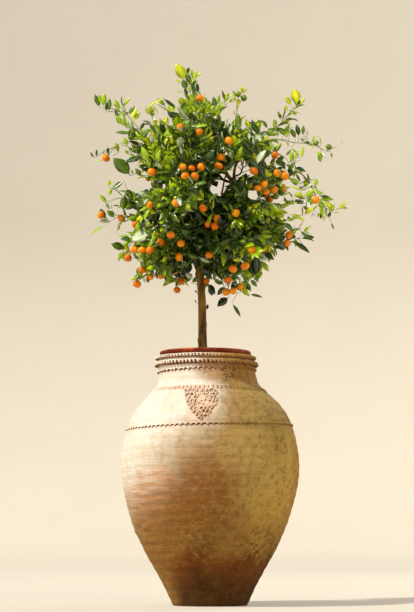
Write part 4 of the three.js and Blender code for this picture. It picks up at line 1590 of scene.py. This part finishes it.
def spray_tone(place, young, rng):
    """A tone for a spray, from 0, deep, to 5, yellow. Young is how likely it is young, if that is known."""
    outer = norm((place - HEART) * (1, 1, 1.05))
    # height and the sides raise the tone, partly young growth and partly painted sunlight; deep inside it
    # falls, as painted shade
    aside = float(np.clip((abs(place[0]) - 0.06) / 0.20, 0, 1))
    if young is None:
        young = 0.07 + 0.24 * aside + 0.12 * (place[2] > 1.75)
    if outer > 0.24 and rng.uniform() < young:
        return int(rng.choice((2, 3, 4, 5), p=(0.12, 0.30, 0.54, 0.04)))
    tone = 0.2 + 5.2 * (outer - 0.10) + 2.4 * (place[2] - HEART[2]) + 0.9 * aside + rng.normal(0, 1.15)
    return int(np.clip(round(tone), 0, 3))


print(len(SHOOT_LEAVES), "shoots have leaves of their own kind")

# %% Set the leaves
LEAF_TWIG = 0.0028        # leaves sit on twigs thinner than this
LEAF_EVERY = 0.0205
GOLDEN = math.pi * (3 - math.sqrt(5))


def leaf_rows(rng):
    """For each leaf: place, the twig's way, the way out of it, lean, tone, size, and 1 in a tuft."""
    rows = []
    for line in twig_lines:
        places, radii = twigs.places[line], twigs.radii[line]
        along = unit(np.gradient(places, axis=0))
        young, wide, size = SHOOT_LEAVES.get(mass_of(places[-1]), (None, 1.0, 1.0))
        tone = spray_tone(places[-1], young, rng)
        turn = rng.uniform(0, 2 * np.pi)
        run = rng.uniform(0, LEAF_EVERY)
        side = unit(np.cross(along[0], (0.31, 0.17, 0.93)))
        for place, radius, way in zip(places[1:], radii[1:], along[1:]):
            side = unit(side - way * side.dot(way))
            run += TWIG_STEP
            if radius < LEAF_TWIG and run > LEAF_EVERY * wide:
                run -= LEAF_EVERY * wide * rng.uniform(0.8, 1.2)
                turn += GOLDEN + rng.normal(0, 0.2)
                out = side * math.cos(turn) + np.cross(way, side) * math.sin(turn)
                rows.append((place + 0.8 * radius * out, way, out, rng.uniform(0.75, 1.15), tone, size, 0))
        for _ in range(rng.integers(2, 4)):
            turn += GOLDEN + rng.normal(0, 0.2)
            out = side * math.cos(turn) + np.cross(along[-1], side) * math.sin(turn)
            rows.append((places[-1], along[-1], out, rng.uniform(0.25, 0.75), tone, size, 1))
    return rows


def set_leaves():
    rng = np.random.default_rng(201)
    rows = leaf_rows(rng)
    base, way, out, lean, tone, shoot, tip = (np.array(column, float) for column in zip(*rows))
    outwards = unit(base - HEART)
    noise = rng.normal(0, 1, (len(base), 3))
    lift = np.where(base[:, 2] > HEART[2] - 0.05, 0.30, 0.0)[:, None]
    along = unit(way * np.cos(lean)[:, None] + out * np.sin(lean)[:, None]
                 + 0.25 * outwards + lift * UP + 0.12 * noise)
    normal = 0.42 * UP + 0.60 * outwards + 0.30 * SUN + 0.46 * rng.normal(0, 1, (len(base), 3))
    young = tone > 3
    size = np.where(young, rng.uniform(0.036, 0.060, len(base)), rng.uniform(0.048, 0.076, len(base)))
    size = shoot * size * np.where(tip > 0, rng.uniform(0.75, 1.0, len(base)), 1.0)
    far = (norm(base - HEART) > 0.24) & (base[:, 2] > HEART[2] - 0.12)
    # a painted sheen: near-white leaves that stand for the sun's glint
    tone[far & (rng.uniform(size=len(base)) < SHEEN_SHARE)] = TONES.index("pale")
    return {"base": base, "along": along, "normal": normal, "length": size,
            "width": rng.uniform(0.70, 1.02, len(base)), "fold": rng.uniform(0.14, 0.50, len(base)),
            "bend": rng.uniform(-0.02, 0.26, len(base)), "wave": rng.uniform(0.0, 0.14, len(base)),
            "tone": tone.astype(int)}


leaves = set_leaves()
print(len(leaves["base"]), "leaves on the twigs")

# %% Thin out the leaves in the gaps
def keep_leaves(keep):
    for key in leaves:
        leaves[key] = leaves[key][keep]


def leaf_middles(group, share=0.55):
    return group["base"] + group["along"] * group["length"][:, None] * share


keep_leaves(~in_gap(leaf_middles(leaves), 0.9) & ~in_gap(leaf_middles(leaves, 0.95), 0.6))
print(len(leaves["base"]), "leaves outside the gaps")

# %% [markdown]
# ## Fruits
# Calamondins are little oranges, 25 to 35 mm across, a bit flattened, and they hang singly or in twos and
# threes on short green stalks. Those at the front are hung where the eye sees them: the line of sight
# through each place finds the outermost twig near it, and a stalk ties the fruit to that twig. The sides
# and the back get clusters dealt out by the seed. Leaves that would hide a front fruit are left out, but
# some fruits only peep out from behind a leaf, so there fewer go.

# %% Known fruits
RIPE_SEEN = (
    (200, 98), (180, 127), (199, 132), (229, 141), (106, 158), (221, 157), (219, 166), (183, 167),
    (192, 168), (201, 167), (185, 176), (195, 176), (152, 172), (254, 171), (275, 155), (277, 173),
    (285, 176), (264, 184), (266, 192), (258, 188), (274, 190), (150, 205), (176, 203), (203, 208),
    (236, 213), (208, 224), (217, 218), (215, 226), (121, 218), (101, 215), (171, 235), (181, 243),
    (161, 242), (252, 250), (289, 235), (287, 243), (134, 250), (142, 250), (150, 250), (179, 257),
    (128, 258), (209, 255), (142, 270), (150, 277), (137, 284), (206, 281), (181, 281), (177, 290),
    (233, 269), (245, 266), (228, 280), (233, 291), (226, 292), (240, 287), (316, 200),
)
GREEN_SEEN = ((238, 94), (244, 98), (270, 133), (316, 143), (329, 147))
# those that peep out from behind a leaf
HALF_HIDDEN = (
    (180, 127), (229, 141), (221, 157), (254, 171), (275, 155), (176, 203), (203, 208), (152, 172),
    (179, 257), (316, 200), (233, 269), (245, 266), (181, 281), (128, 258), (101, 215), (266, 192),
    (274, 190), (285, 176),
)
print(len(RIPE_SEEN), "ripe and", len(GREEN_SEEN), "green")

# %% Hang the fruits
FRUIT_RADIUS = 0.0156
STALK_LONGEST = 0.050
BACK_CLUSTERS = 34


def hang_seen(pixel, radius):
    """The middle of a fruit on a line of sight, and the twig point that carries it."""
    way = sight_line(pixel)
    ahead, off = beside(twigs.places, EYE, way)
    thin = (twigs.radii < 0.004) & (np.arange(len(twigs.places)) >= twigs.roots)
    reach = STALK_LONGEST
    while not (thin & (off < reach)).any():
        reach *= 1.3
    near = np.flatnonzero(thin & (off < reach))
    score = (ahead[near] - ahead[near].min()) * 0.45 + np.abs(off[near] - 1.6 * radius)
    carrier = near[score.argmin()]
    forward = 0.0
    if off[carrier] < 1.5 * radius:
        forward = math.sqrt((1.5 * radius) ** 2 - off[carrier] ** 2)
    return np.array(EYE) + way * (ahead[carrier] - forward), carrier


def front_fruits(rng):
    """The seen fruits: middle, radius, the twig point that carries it, 1 if ripe, how well it shows."""
    fruits = []
    for seen, ripe in ((RIPE_SEEN, 1), (GREEN_SEEN, 0)):
        for pixel in seen:
            radius = FRUIT_RADIUS * rng.uniform(0.92, 1.10) * (1.0 if ripe else 0.8)
            middle, carrier = hang_seen(pixel, radius)
            for other, other_radius, _, _, _ in fruits:
                short = radius + other_radius + 0.0005 - norm(middle - other)
                if short > 0:
                    way = 1 if middle[1] > other[1] else -1
                    middle = middle + way * (short + 0.006) * sight_line(pixel)
            fruits.append((middle, radius, carrier, ripe, 0.5 if pixel in HALF_HIDDEN else 1))
    return fruits


def add_back_fruits(fruits, rng):
    """Adds clusters of one to three fruits at the sides and the back, where they touch no other."""
    tips = np.array([line[-2] for line in twig_lines if len(line) > 3])
    away = twigs.places[tips] - HEART
    sideways = np.hypot(away[:, 0], away[:, 2])
    tips = tips[(away[:, 1] > 0.08) & (sideways < 0.34) & (norm(away) > 0.24)]
    for carrier in rng.choice(tips, BACK_CLUSTERS, replace=False):
        for _ in range(rng.integers(1, 4)):
            radius = FRUIT_RADIUS * rng.uniform(0.9, 1.12)
            hang = unit(-UP + 0.5 * unit(twigs.places[carrier] - HEART) + rng.normal(0, 0.55, 3))
            middle = twigs.places[carrier] + hang * (radius + rng.uniform(0.006, 0.016))
            if all(norm(middle - other) > radius + size for other, size, *_ in fruits):
                fruits.append((middle, radius, carrier, int(rng.uniform() < 0.93), 0))


rng = np.random.default_rng(301)
fruits = front_fruits(rng)
print(len(fruits), "fruits at the front")
add_back_fruits(fruits, rng)
print(len(fruits), "fruits in all")

# %% Clear the view
CLEAR = {1: 0.021, 0.5: 0.005}      # how far off its line of sight leaves stay, by how well the fruit shows
CLEAR_ROUND = 0.006                 # and how far from any fruit's skin


def clear_view():
    """Leaves out the leaves between the eye and a fruit that should show, and those inside a fruit."""
    middles = leaf_middles(leaves)
    hides = np.zeros(len(middles), bool)
    for middle, radius, _, _, seen in fruits:
        if seen:
            ahead, off = beside(middles, EYE, unit(middle - EYE))
            hides |= (off < CLEAR[seen]) & (ahead < norm(middle - EYE) + 0.01)
        hides |= norm(middles - middle) < radius + CLEAR_ROUND
    keep_leaves(~hides)
    print(hides.sum(), "leaves left out,", len(leaves["base"]), "stay")


clear_view()

# %% [markdown]
# ## Leaves that the eye knows
# Some leaves catch the eye: the big pale one at the lower left, the lime ones at the tips, dark ones that
# hang below. Each is given by its foot and its tip in the picture and by its breadth. Its foot is laid as
# deep as the foremost twig there, and a short stalk ties it to that twig. The pale ones turn their waxy side
# halfway between the eye and the sun, which is what makes a real leaf flash, and their near-white colour is a
# painted sheen. Leaves in front of these, and between the sun and the bright ones, are left out.

# %% Known leaves
# by tone: the foot, across and down, the tip as seen from the foot, and the breadth in tenths of the usual
SEEN_LEAVES = {"deep": (
    (197, 293, -2, -3, 10), (196, 303, -1, -3, 10), (207, 310, 1, -6, 9), (255, 255, 2, 19, 11),
    (229, 297, -12, 9, 12), (210, 285, 2, 11, 12), (247, 284, 2, 6, 11), (149, 283, -2, -6, 10),
    (258, 164, 6, 15, 7), (329, 218, 1, -7, 9),
), "dark": (
    (106, 112, 1, -10, 6), (140, 131, 4, -9, 7.5), (128, 141, 12, 4, 7), (163, 98, 12, 10, 5.5),
    (187, 74, 2, -7, 9), (198, 94, 0, -11, 6), (179, 111, 8, -11, 5), (183, 111, 17, 11, 5.5),
    (203, 119, 9, -6, 5.5), (184, 139, 14, 11, 7.5), (145, 156, -21, 7, 6), (96, 157, 1, -8, 6),
    (108, 155, 0, -8, 7.5), (138, 164, 12, 7, 9), (160, 122, 5, 13, 9), (219, 131, -8, -11, 9),
    (221, 128, 3, -8, 9.5), (260, 135, -10, -13, 8), (274, 134, -3, -3, 8), (299, 136, -1, -9, 7),
    (285, 171, -2, -10, 6), (294, 167, 12, 4, 8.5), (241, 137, 13, 18, 6.5), (261, 158, 6, 13, 7),
    (331, 222, 3, 8, 4), (322, 213, -2, 6, 8), (319, 196, 11, 1, 8), (131, 208, 0, -13, 7),
    (132, 239, -12, 0, 8.5), (172, 272, 11, 6, 10), (204, 220, -7, 6, 10), (120, 206, -7, -1, 5),
    (292, 241, 19, 11, 5.5), (285, 249, -14, -3, 4.5), (263, 252, 11, 8, 11), (232, 303, 9, 14, 5),
    (289, 178, 2, -13, 8), (207, 283, 9, 11, 9), (226, 286, -9, 9, 9), (299, 137, -2, -13, 8),
    (217, 214, 15, -1, 4.5), (193, 93, 3, -13, 10), (188, 96, -4, -8, 9),
), "mid": (
    (100, 108, -6, -14, 7), (109, 112, 0, -14, 7.5), (118, 120, -3, -12, 6), (128, 115, 7, -9, 8),
    (132, 134, -17, -3, 5), (140, 140, 9, -10, 10), (172, 120, -5, -11, 6.5), (191, 101, -7, -8, 7),
    (182, 134, 9, -15, 8), (131, 176, -17, -19, 11), (272, 155, 9, -12, 7), (284, 134, 6, -10, 7),
    (296, 160, -6, 10, 7), (283, 222, 11, 9, 8), (225, 101, -3, -11, 5), (142, 177, -7, -9, 9),
    (143, 178, 11, -3, 7.5), (94, 158, -4, -6, 7), (124, 181, -12, 8, 9), (215, 110, -1, -14, 8),
    (238, 131, 0, -18, 7.5), (268, 129, -6, -9, 7), (281, 120, -3, -9, 6), (303, 136, 0, -11, 7),
    (266, 142, 13, -3, 5), (292, 148, -6, 8, 5.5), (310, 182, -3, -9, 5), (301, 183, -5, -10, 5),
    (331, 152, 1, 6, 6), (284, 197, -8, -8, 8), (298, 186, -7, -6, 9), (300, 231, 9, 7, 8),
    (209, 281, -6, 8, 8), (250, 279, 7, 8, 9), (247, 282, 4, 8, 8), (296, 139, -5, -11, 8),
    (158, 276, 4, -7, 11), (185, 283, 7, -8, 9), (123, 212, 1, -18, 9), (115, 218, -8, -8, 11.5),
    (106, 220, -6, -12, 8.5), (126, 249, -15, -5, 11.5), (200, 258, -15, -5, 11), (178, 237, -5, -6, 12),
    (194, 279, 9, -9, 8), (191, 283, 10, -7, 9), (216, 271, 16, -8, 9.5), (229, 275, 14, -3, 10),
    (243, 274, 4, 9, 10), (254, 277, 5, 5, 10), (240, 293, 2, -6, 6), (249, 294, 14, 3, 4.5),
    (187, 91, -5, -12, 10), (191, 98, 6, -8, 9), (190, 84, -4, -11, 9),
), "fresh": (
    (103, 107, 2, -14, 8), (101, 104, -3, -10, 7), (120, 112, -6, -13, 7), (127, 146, -3, -9, 10),
    (119, 153, -4, -11, 8), (103, 155, 1, -6, 6), (183, 92, -7, -1, 5), (218, 106, 1, -12, 5.5),
    (225, 103, 3, -11, 9), (287, 117, 6, -6, 6), (279, 129, 7, 5, 9), (313, 144, 1, -8, 5),
    (321, 145, -1, -8, 5), (314, 136, 6, 1, 4), (300, 157, -8, -9, 5), (316, 187, 0, -9, 9),
    (324, 211, -5, -12, 9), (330, 213, 5, -9, 8), (106, 225, -16, 9, 5), (107, 204, -7, -10, 7.5),
    (139, 233, -1, -12, 11), (198, 210, 12, 7, 4), (269, 267, -7, -3, 9), (251, 264, -4, -7, 8),
    (283, 141, -8, 9, 5), (287, 138, 1, -10, 6), (288, 178, 12, 6, 8), (287, 222, 11, -6, 6),
    (112, 187, -3, 9, 8), (283, 118, -6, -6, 6), (188, 78, -2, -10, 8), (304, 197, 9, -7, 8),
    (322, 196, -7, -7, 8), (324, 216, -4, -9, 8), (276, 132, -3, -14, 5), (154, 118, -4, -10, 7),
    (134, 121, 6, -9, 8), (125, 119, -3, -9, 7), (192, 87, -5, -10, 8), (193, 81, 5, -10, 8),
    (190, 92, 7, -7, 8),
), "lime": (
    (122, 108, 8, -11, 5), (131, 120, 6, -12, 7), (153, 105, 10, -7, 5), (154, 115, -6, -11, 5),
    (147, 112, -1, -6, 5), (185, 81, -8, -18, 11.5), (193, 76, -2, -7, 7), (241, 92, 1, -5, 5),
    (312, 181, -9, 3, 6), (290, 214, 12, 5, 7), (289, 112, -5, -8, 6), (148, 108, 8, -7, 5),
    (181, 83, -5, -4, 9), (195, 77, 7, -5, 6), (201, 120, 1, -7, 6), (181, 159, -5, -10, 8.5),
    (112, 185, -4, -5, 8), (103, 161, -8, -1, 4), (231, 98, 2, -5, 8), (236, 101, -2, -5, 7),
    (291, 106, -5, -10, 10), (300, 106, 4, -9, 5), (295, 160, 3, -10, 6), (301, 160, 3, -15, 4),
    (333, 210, -8, -10, 9), (338, 209, 10, -11, 4), (337, 210, 10, -6, 3), (333, 213, 8, -1, 4),
    (303, 221, -7, -5, 6), (303, 223, 0, -6, 6), (288, 186, 15, 4, 3.5), (285, 204, 13, -2, 3),
    (109, 187, -1, -7, 8), (142, 233, 6, -7, 4), (136, 277, -7, 3, 5), (211, 277, 8, -2, 3),
), "yellow": (
    (153, 116, 1, -10, 4), (158, 114, -3, -8, 4), (170, 111, 8, -1, 4), (204, 115, 5, -3, 3.5),
    (297, 105, -2, -17, 12), (312, 146, -5, 4, 4), (304, 215, 9, -8, 11), (266, 227, 3, -13, 7),
    (265, 228, -16, -4, 2), (98, 211, -7, -1, 2.5),
), "pale": (
    (126, 112, -4, -6, 9), (134, 132, -5, -10, 9), (151, 135, 3, 10, 6), (195, 89, 1, -7, 5),
    (192, 76, -4, -3, 7), (189, 84, -5, -3, 9), (192, 80, -2, -7, 7), (203, 136, 6, -3, 8),
    (196, 126, -5, 0, 6), (182, 156, -1, -10, 7), (179, 147, -2, -5, 6), (166, 151, -5, -7, 5),
    (191, 154, -2, -4, 7), (133, 175, -2, -6, 9), (117, 155, -5, -1, 8), (181, 172, -10, 4, 10),
    (194, 185, -6, -9, 5), (210, 156, -6, 2, 5), (226, 125, 2, -8, 6), (229, 136, 3, -12, 7),
    (222, 140, 0, -9, 5), (252, 134, -6, -7, 5), (256, 135, -4, -5, 6), (254, 146, -1, -11, 5),
    (277, 125, -2, -6, 8), (301, 104, 5, -5, 5), (290, 133, 1, -8, 7), (306, 141, -1, -7, 7),
    (308, 137, -1, -8, 4), (337, 147, 7, -9, 5), (228, 147, 10, -1, 3), (219, 151, 7, -5, 5),
    (306, 188, 6, -5, 10), (322, 193, 3, -8, 5), (311, 217, 5, -9, 5), (280, 211, -3, -7, 11.5),
    (275, 210, -6, -3, 8), (265, 226, -5, -9, 11), (112, 210, -3, -7, 8), (130, 216, -7, 7, 10),
    (149, 197, -13, -6, 10), (143, 205, 5, -6, 11), (139, 203, -4, -2, 7), (157, 222, 0, -15, 5),
    (151, 224, -7, -6, 6), (140, 218, 0, -5, 7), (150, 231, 8, -6, 5), (174, 219, -10, 3, 14),
    (170, 229, -3, -6, 8), (178, 226, 2, -10, 4), (180, 217, 8, -6, 5), (188, 212, 10, -2, 5),
    (184, 224, 6, 1, 4), (150, 235, -19, 4, 17), (310, 187, -13, 3, 9), (105, 203, 5, 6, 9),
    (151, 246, 1, -9, 6), (127, 261, -3, -5, 9), (146, 283, -3, -6, 9), (199, 257, 11, 5, 9.5),
    (182, 260, 5, 3, 6), (193, 279, -7, -6, 13), (225, 226, 0, -6, 5), (301, 231, 11, 4, 5),
    (259, 251, 9, 10, 5), (225, 251, 11, 10, 5), (238, 257, 9, 9, 4),
)}
print(sum(map(len, SEEN_LEAVES.values())), "known leaves")

# %% Tie them to the twigs
def carriers():
    """Places that can carry a leaf: the thin twigs, and both sides of the bare stem."""
    thin = twigs.places[twigs.roots:][twigs.radii[twigs.roots:] < 0.004]
    bare = stem_axis[(stem_axis[:, 2] > 1.20) & (stem_axis[:, 2] < 1.36)]
    side = np.array((0.8 * STEM_BASE, 0.0, 0.0))
    return np.concatenate([thin, bare - side, bare + side])


def place_seen():
    """The known leaves as rows like those of the others, and their stalks."""
    rng = np.random.default_rng(202)
    places = carriers()
    pixels = in_picture(places)
    ahead = norm(places - EYE)
    rows, stalks = [], []
    for tone, group in SEEN_LEAVES.items():
        for foot_x, foot_y, across, down, tenths in group:
            away = norm(pixels - (foot_x, foot_y))
            near = np.flatnonzero(away < max(2.5, away.min() + 0.5))
            carrier = near[ahead[near].argmin()]
            base = EYE + sight_line((foot_x, foot_y)) * ahead[carrier]
            tip_ahead = ahead[carrier] + rng.uniform(-0.012, 0.012)
            tip = EYE + sight_line((foot_x + across, foot_y + down)) * tip_ahead
            to_eye = unit(EYE - base)
            normal = unit(SUN + to_eye) if tone == "pale" else 0.8 * to_eye + 0.45 * UP
            normal = normal + 0.12 * rng.normal(size=3)
            rows.append((*base, *(tip - base), *normal, tenths / 10, TONES.index(tone)))
            if norm(places[carrier] - base) > 0.002:
                stalks.append((places[carrier], base))
    rows = np.array(rows)
    count = len(rows)
    seen = {"base": rows[:, 0:3], "along": rows[:, 3:6], "normal": rows[:, 6:9],
            "length": norm(rows[:, 3:6]), "width": rows[:, 9],
            "fold": rng.uniform(0.10, 0.28, count), "bend": rng.uniform(0.0, 0.08, count),
            "wave": rng.uniform(0.0, 0.10, count), "tone": rows[:, 10].astype(int)}
    seen["along"] = unit(seen["along"])
    return seen, stalks


seen_leaves, seen_stalks = place_seen()
print(len(seen_stalks), "stalks")

# %% Clear the view of them
def clear_for(seen):
    """Leaves out the leaves in front of the known ones."""
    pixels = in_picture(leaf_middles(leaves))
    ahead = norm(leaf_middles(leaves) - EYE)
    hides = np.zeros(len(pixels), bool)
    middles = leaf_middles(seen)
    nears = norm(middles - EYE)
    rooms = 0.42 * seen["length"] / PIXEL
    for pixel, near, room in zip(in_picture(middles), nears, rooms):
        hides |= (norm(pixels - pixel) < room) & (ahead < near + 0.006)
    keep_leaves(~hides)
    print(hides.sum(), "leaves make way for", len(middles), "known ones")


def leaf_stalks(stalks):
    points, faces, _ = tubes([stalk(*ends, 0.06, (0.0011, 0.0009, 0.0008, 0.0008)) for ends in stalks])
    make_piece("leaf_stalks", points, faces, [GREEN_WOOD], "foliage")
    print("the longest stalk is", round(1000 * max(norm(a - b) for a, b in stalks)), "mm")


def let_sun_in(middles):
    """Leaves out the leaves between the sun and those that shine."""
    others = leaf_middles(leaves)
    hides = np.zeros(len(others), bool)
    for middle in middles:
        toward, off = beside(others, middle, SUN)
        hides |= (toward > 0.012) & (off < 0.014)
    keep_leaves(~hides)
    print(hides.sum(), "leaves let the sun in")


clear_for(seen_leaves)
shining = seen_leaves["tone"] >= TONES.index("fresh")
pale = leaves["tone"] == TONES.index("pale")
let_sun_in(np.concatenate([leaf_middles(seen_leaves)[shining], leaf_middles(leaves)[pale]]))
leaves = {key: np.concatenate([leaves[key], seen_leaves[key]]) for key in leaves}
leaf_stalks(seen_stalks)

# %% [markdown]
# ## Peel, calyx and stalk
# A ripe peel is deep orange, glossy and full of pores, and goes to gold in patches. All fruits are copies of
# one form, dimpled where the stalk comes in, and each is stretched a little and turned so that its dimple
# faces its twig. A green star covers the dimple, and a short stalk ties the fruit on.

# %% Peel
def peel_finish(name, first, second, blush):
    peel = Finish(name, 0.34, Specular_IOR_Level=0.16, Coat_Roughness=0.15)
    patch = peel.noise(24, 2, 0.5)
    pores = peel.noise(900, 2, 0.5)
    peel.ground(peel.rise(patch, 0.36, 0.66), first, second)
    peel.coat(0.25 * peel.rise(peel.noise(70, 3, 0.6), 0.55, 0.7), blush)
    peel.feed(Roughness=0.28 + 0.14 * pores, Coat_Weight=0.05 + 0.15 * patch)
    peel.bump(pores, 0.0006, 0.6)
    return peel.material


TINTS.update({
    "orange": (214, 108, 0), "golden orange": (236, 148, 0), "red blush": (206, 84, 0),
    "lime green": (96, 124, 34), "yellow green": (132, 150, 44), "dark blush": (70, 98, 28),
})
RIPE = peel_finish("ripe_peel", "orange", "golden orange", "red blush")
UNRIPE = peel_finish("unripe_peel", "lime green", "yellow green", "dark blush")
print("a peel has", len(RIPE.node_tree.nodes), "nodes")


# %% Fruit meshes
def fruit_template():
    """A round fruit, one unit in radius, dimpled at the stalk, which is up."""
    sides, rows = 18, []
    for a in np.linspace(np.pi - 0.12, 0.10, 13):
        radius = np.sin(a) * 1.03
        height = 0.93 * np.cos(a) - 0.12 * math.exp(-(math.sin(a) / 0.32) ** 2) * (1 if a < 1 else -0.5)
        ribs = 1 + 0.012 * np.cos(9 * circle(sides)) * np.sin(a)
        rows.append(ring(circle(sides), radius * ribs, height))
    return turned(rows)


def pointing(ways, rng):
    """Turning matrices that lay a form's upright axis along the given ways, each with its own twist."""
    up = unit(ways)
    side = unit(np.cross(up, rng.normal(size=up.shape)))
    return np.stack([side, np.cross(up, side), up], -1)


def calyx_template():
    """The green star where the stalk meets the fruit."""
    turns = circle(10)
    points_out = 0.34 + 0.12 * np.cos(5 * turns)
    rows = [ring(turns, points_out, 0.80), ring(turns, points_out * 0.9, 0.86), ring(turns, 0.12, 0.90),
            ring(turns, 0.09, 0.98)]
    return turned(rows)


def fruit_pieces():
    rng = np.random.default_rng(302)
    middles = np.array([fruit[0] for fruit in fruits])
    radii = np.array([fruit[1] for fruit in fruits])
    holders = twigs.places[[fruit[2] for fruit in fruits]]
    ripe = np.array([fruit[3] for fruit in fruits], bool)
    turn = pointing(holders - middles, rng)
    stretch = radii[:, None] * rng.uniform(0.95, 1.04, (len(fruits), 3))
    for name, chosen, finish in (("oranges", ripe, RIPE), ("green_oranges", ~ripe, UNRIPE)):
        points, faces = scatter(fruit_template(), middles[chosen], stretch[chosen], turn[chosen], 303, 0.006)
        make_piece(name, points, faces, [finish], "fruit")
    points, faces = scatter(calyx_template(), middles, stretch, turn, 304, 0.02)
    make_piece("calyxes", points, faces, [GREEN_WOOD], "foliage")
    ends = middles + unit(holders - middles) * radii[:, None] * 0.84
    thick = (0.0010, 0.0010, 0.0011, 0.0012, 0.0016)
    points, faces, _ = tubes([stalk(start, end, 0.10, thick) for start, end in zip(holders, ends)])
    make_piece("fruit_stalks", points, faces, [GREEN_WOOD], "foliage")


fruit_pieces()

# %% [markdown]
# ## Leaf finishes
# A citrus leaf is waxy: its top gives a clean highlight, and its underside is paler and dull. Light also
# passes through it, which keeps the crown from going black inside. So each tone is a glossy shader mixed
# with some translucency. The colour is nearly plain, because it is the whole spray that differs.

# %% Leaf finishes and pieces
# the leaves' top colours by tone; pale is a painted sheen, and deep is partly painted shade
LEAF_TOPS = {
    "deep": (26, 48, 4), "dark": (52, 86, 6), "mid": (100, 134, 8), "fresh": (176, 208, 12),
    "lime": (224, 242, 14), "yellow": (240, 242, 30), "pale": (204, 220, 176),
}


def leaf_finish(name, colour, roughness, coat, translucency, glow):
    leaf = Finish(name, roughness, Specular_IOR_Level=0.5, Coat_Roughness=0.24)
    tone = leaf.rise(leaf.noise(30, 2, 0.5), 0.3, 0.7)
    darker = tuple(0.80 * value for value in colour[:3]) + (1.0,)
    lighter = tuple(1.16 * value for value in colour[:3]) + (1.0,)
    leaf.ground(tone, darker, lighter)
    leaf.feed(Coat_Weight=coat)
    leaf.bump(leaf.noise(260, 2, 0.5), 0.0006, 0.35)
    through = leaf.node("BsdfTranslucent", sockets={"Color": glow})
    surface = Value(leaf, leaf.shader.outputs[0])
    blend = leaf.node("MixShader", sockets={0: translucency, 1: surface, 2: through})
    leaf.tree.links.new(blend.socket, leaf.tree.nodes["Material Output"].inputs["Surface"])
    return leaf.material


def leaf_pieces():
    rng = np.random.default_rng(401)
    for number, tone in enumerate(TONES):
        chosen = leaves["tone"] == number
        top = shade(*LEAF_TOPS[tone])
        under = tuple(0.55 * a + 0.45 * b for a, b in zip(top, shade(122, 140, 70)))
        glow = tuple(min(1.0, 1.9 * value + 0.02) for value in top[:3]) + (1.0,)
        clear = 0.40 if tone in ("fresh", "lime", "yellow") else 0.24
        finishes = [leaf_finish(tone + "_leaf", top, 0.32, 0.90, clear, glow),
                    leaf_finish(tone + "_underside", under, 0.50, 0.0, clear, glow)]
        points, faces, side = leaf_mesh({key: value[chosen] for key, value in leaves.items()}, rng)
        stands_for = MASSES if tone == "mid" else ()
        make_piece(tone + "_leaves", points, faces, finishes, "foliage", stands_for, side)


leaf_pieces()

# %% [markdown]
# ## Floor and light
# A plain pale floor curves up into a plain pale wall all round, so every view ends in the same quiet ground.
# It glows a little, and more where its own wall keeps the sun off, so no edge of shade shows behind the
# tree. The light is a studio's version of late sun: a strong warm lamp high on the left and in front, a weak
# cool one on the right, a warm one behind on the right that edges the leaves, and a pale sky.

# %% Floor
FLOOR_RADIUS = 26.0
WALL_TOP = 18.0
TINTS.update({"pale": (172, 164, 150), "paler": (179, 172, 158), "glow": (147, 141, 130),
              "glow in the shade": (241, 229, 208)})


def stage_finish():
    """The ground's finish. It glows a little, and more where the wall keeps the sun off it."""
    pale = Finish("pale_floor", 0.9, Specular_IOR_Level=0.1, Emission_Strength=0.75)
    x, y, z = pale.axes
    cloud = pale.noise(0.8, 3, 0.5)
    climb = (WALL_TOP - z) * float(1 / SUN[2])      # from here along the way to the sun, up to the wall's top
    across = x + float(SUN[0]) * climb
    along = y + float(SUN[1]) * climb
    shaded = pale.rise(across * across + along * along,
                       (FLOOR_RADIUS - 0.9) ** 2, (FLOOR_RADIUS + 0.5) ** 2)
    pale.ground(cloud, "pale", "paler")
    pale.feed(Emission_Color=pale.mix(shaded, "glow", "glow in the shade"))
    return pale.material


def cove():
    turns = circle(96)
    profile = [(0.02, 0.0), (2.0, 0.0), (8.0, 0.0), (FLOOR_RADIUS - 6, 0.0)]
    profile += [(FLOOR_RADIUS - 6 + 6 * np.sin(a), 6 - 6 * np.cos(a)) for a in np.linspace(0.1, 1.5, 12)]
    profile += [(FLOOR_RADIUS, WALL_TOP)]
    rows = np.stack([ring(turns, radius, height) for radius, height in profile])
    mesh = bpy.data.meshes.new("cove")
    faces = grid_faces(len(rows), 96)
    mesh.from_pydata(rows.reshape(-1, 3).tolist(), [], faces.tolist() + [list(range(96))])
    mesh.polygons.foreach_set("use_smooth", np.ones(len(mesh.polygons), bool))
    mesh.materials.append(stage_finish())
    floor = bpy.data.objects.new("cove", mesh)
    bpy.context.scene.collection.objects.link(floor)


cove()
print("the floor reaches", FLOOR_RADIUS, "metres out")


# %% Lights
def lamp(name, kind, toward, power, colour, **settings):
    """A light that shines from that direction, or from that place, on the middle of the tree."""
    light = bpy.data.lights.new(name, kind)
    light.energy = power
    light.color = colour
    for key, value in settings.items():
        setattr(light, key, value)
    holder = bpy.data.objects.new(name, light)
    holder.location = np.array((0, 0, 1.3)) + toward
    aim = -unit(np.array(toward))
    holder.rotation_euler = (math.acos(-aim[2]), 0, math.atan2(aim[1], aim[0]) - math.pi / 2)
    bpy.context.scene.collection.objects.link(holder)


lamp("key", "SUN", 9 * SUN, 4.22, (1.0, 0.96, 0.89), angle=math.radians(5))
lamp("fill", "AREA", (4.5, -5.5, 1.2), 50, (0.94, 0.96, 1.0), shape="DISK", size=3.0)
lamp("rim", "AREA", (3.0, 5.0, 3.5), 110, (1.0, 0.96, 0.90), shape="DISK", size=2.0)

world = bpy.data.worlds.new("studio")
world.use_nodes = True
world.node_tree.nodes["Background"].inputs["Color"].default_value = (0.90, 0.94, 1.0, 1.0)
world.node_tree.nodes["Background"].inputs["Strength"].default_value = 0.36
bpy.context.scene.world = world
bpy.context.scene.view_settings.view_transform = "Standard"
print(len(bpy.data.lights), "lamps and the sky")

# %% Finish
print("all pieces:", sum(PIECES.values()), "triangles")
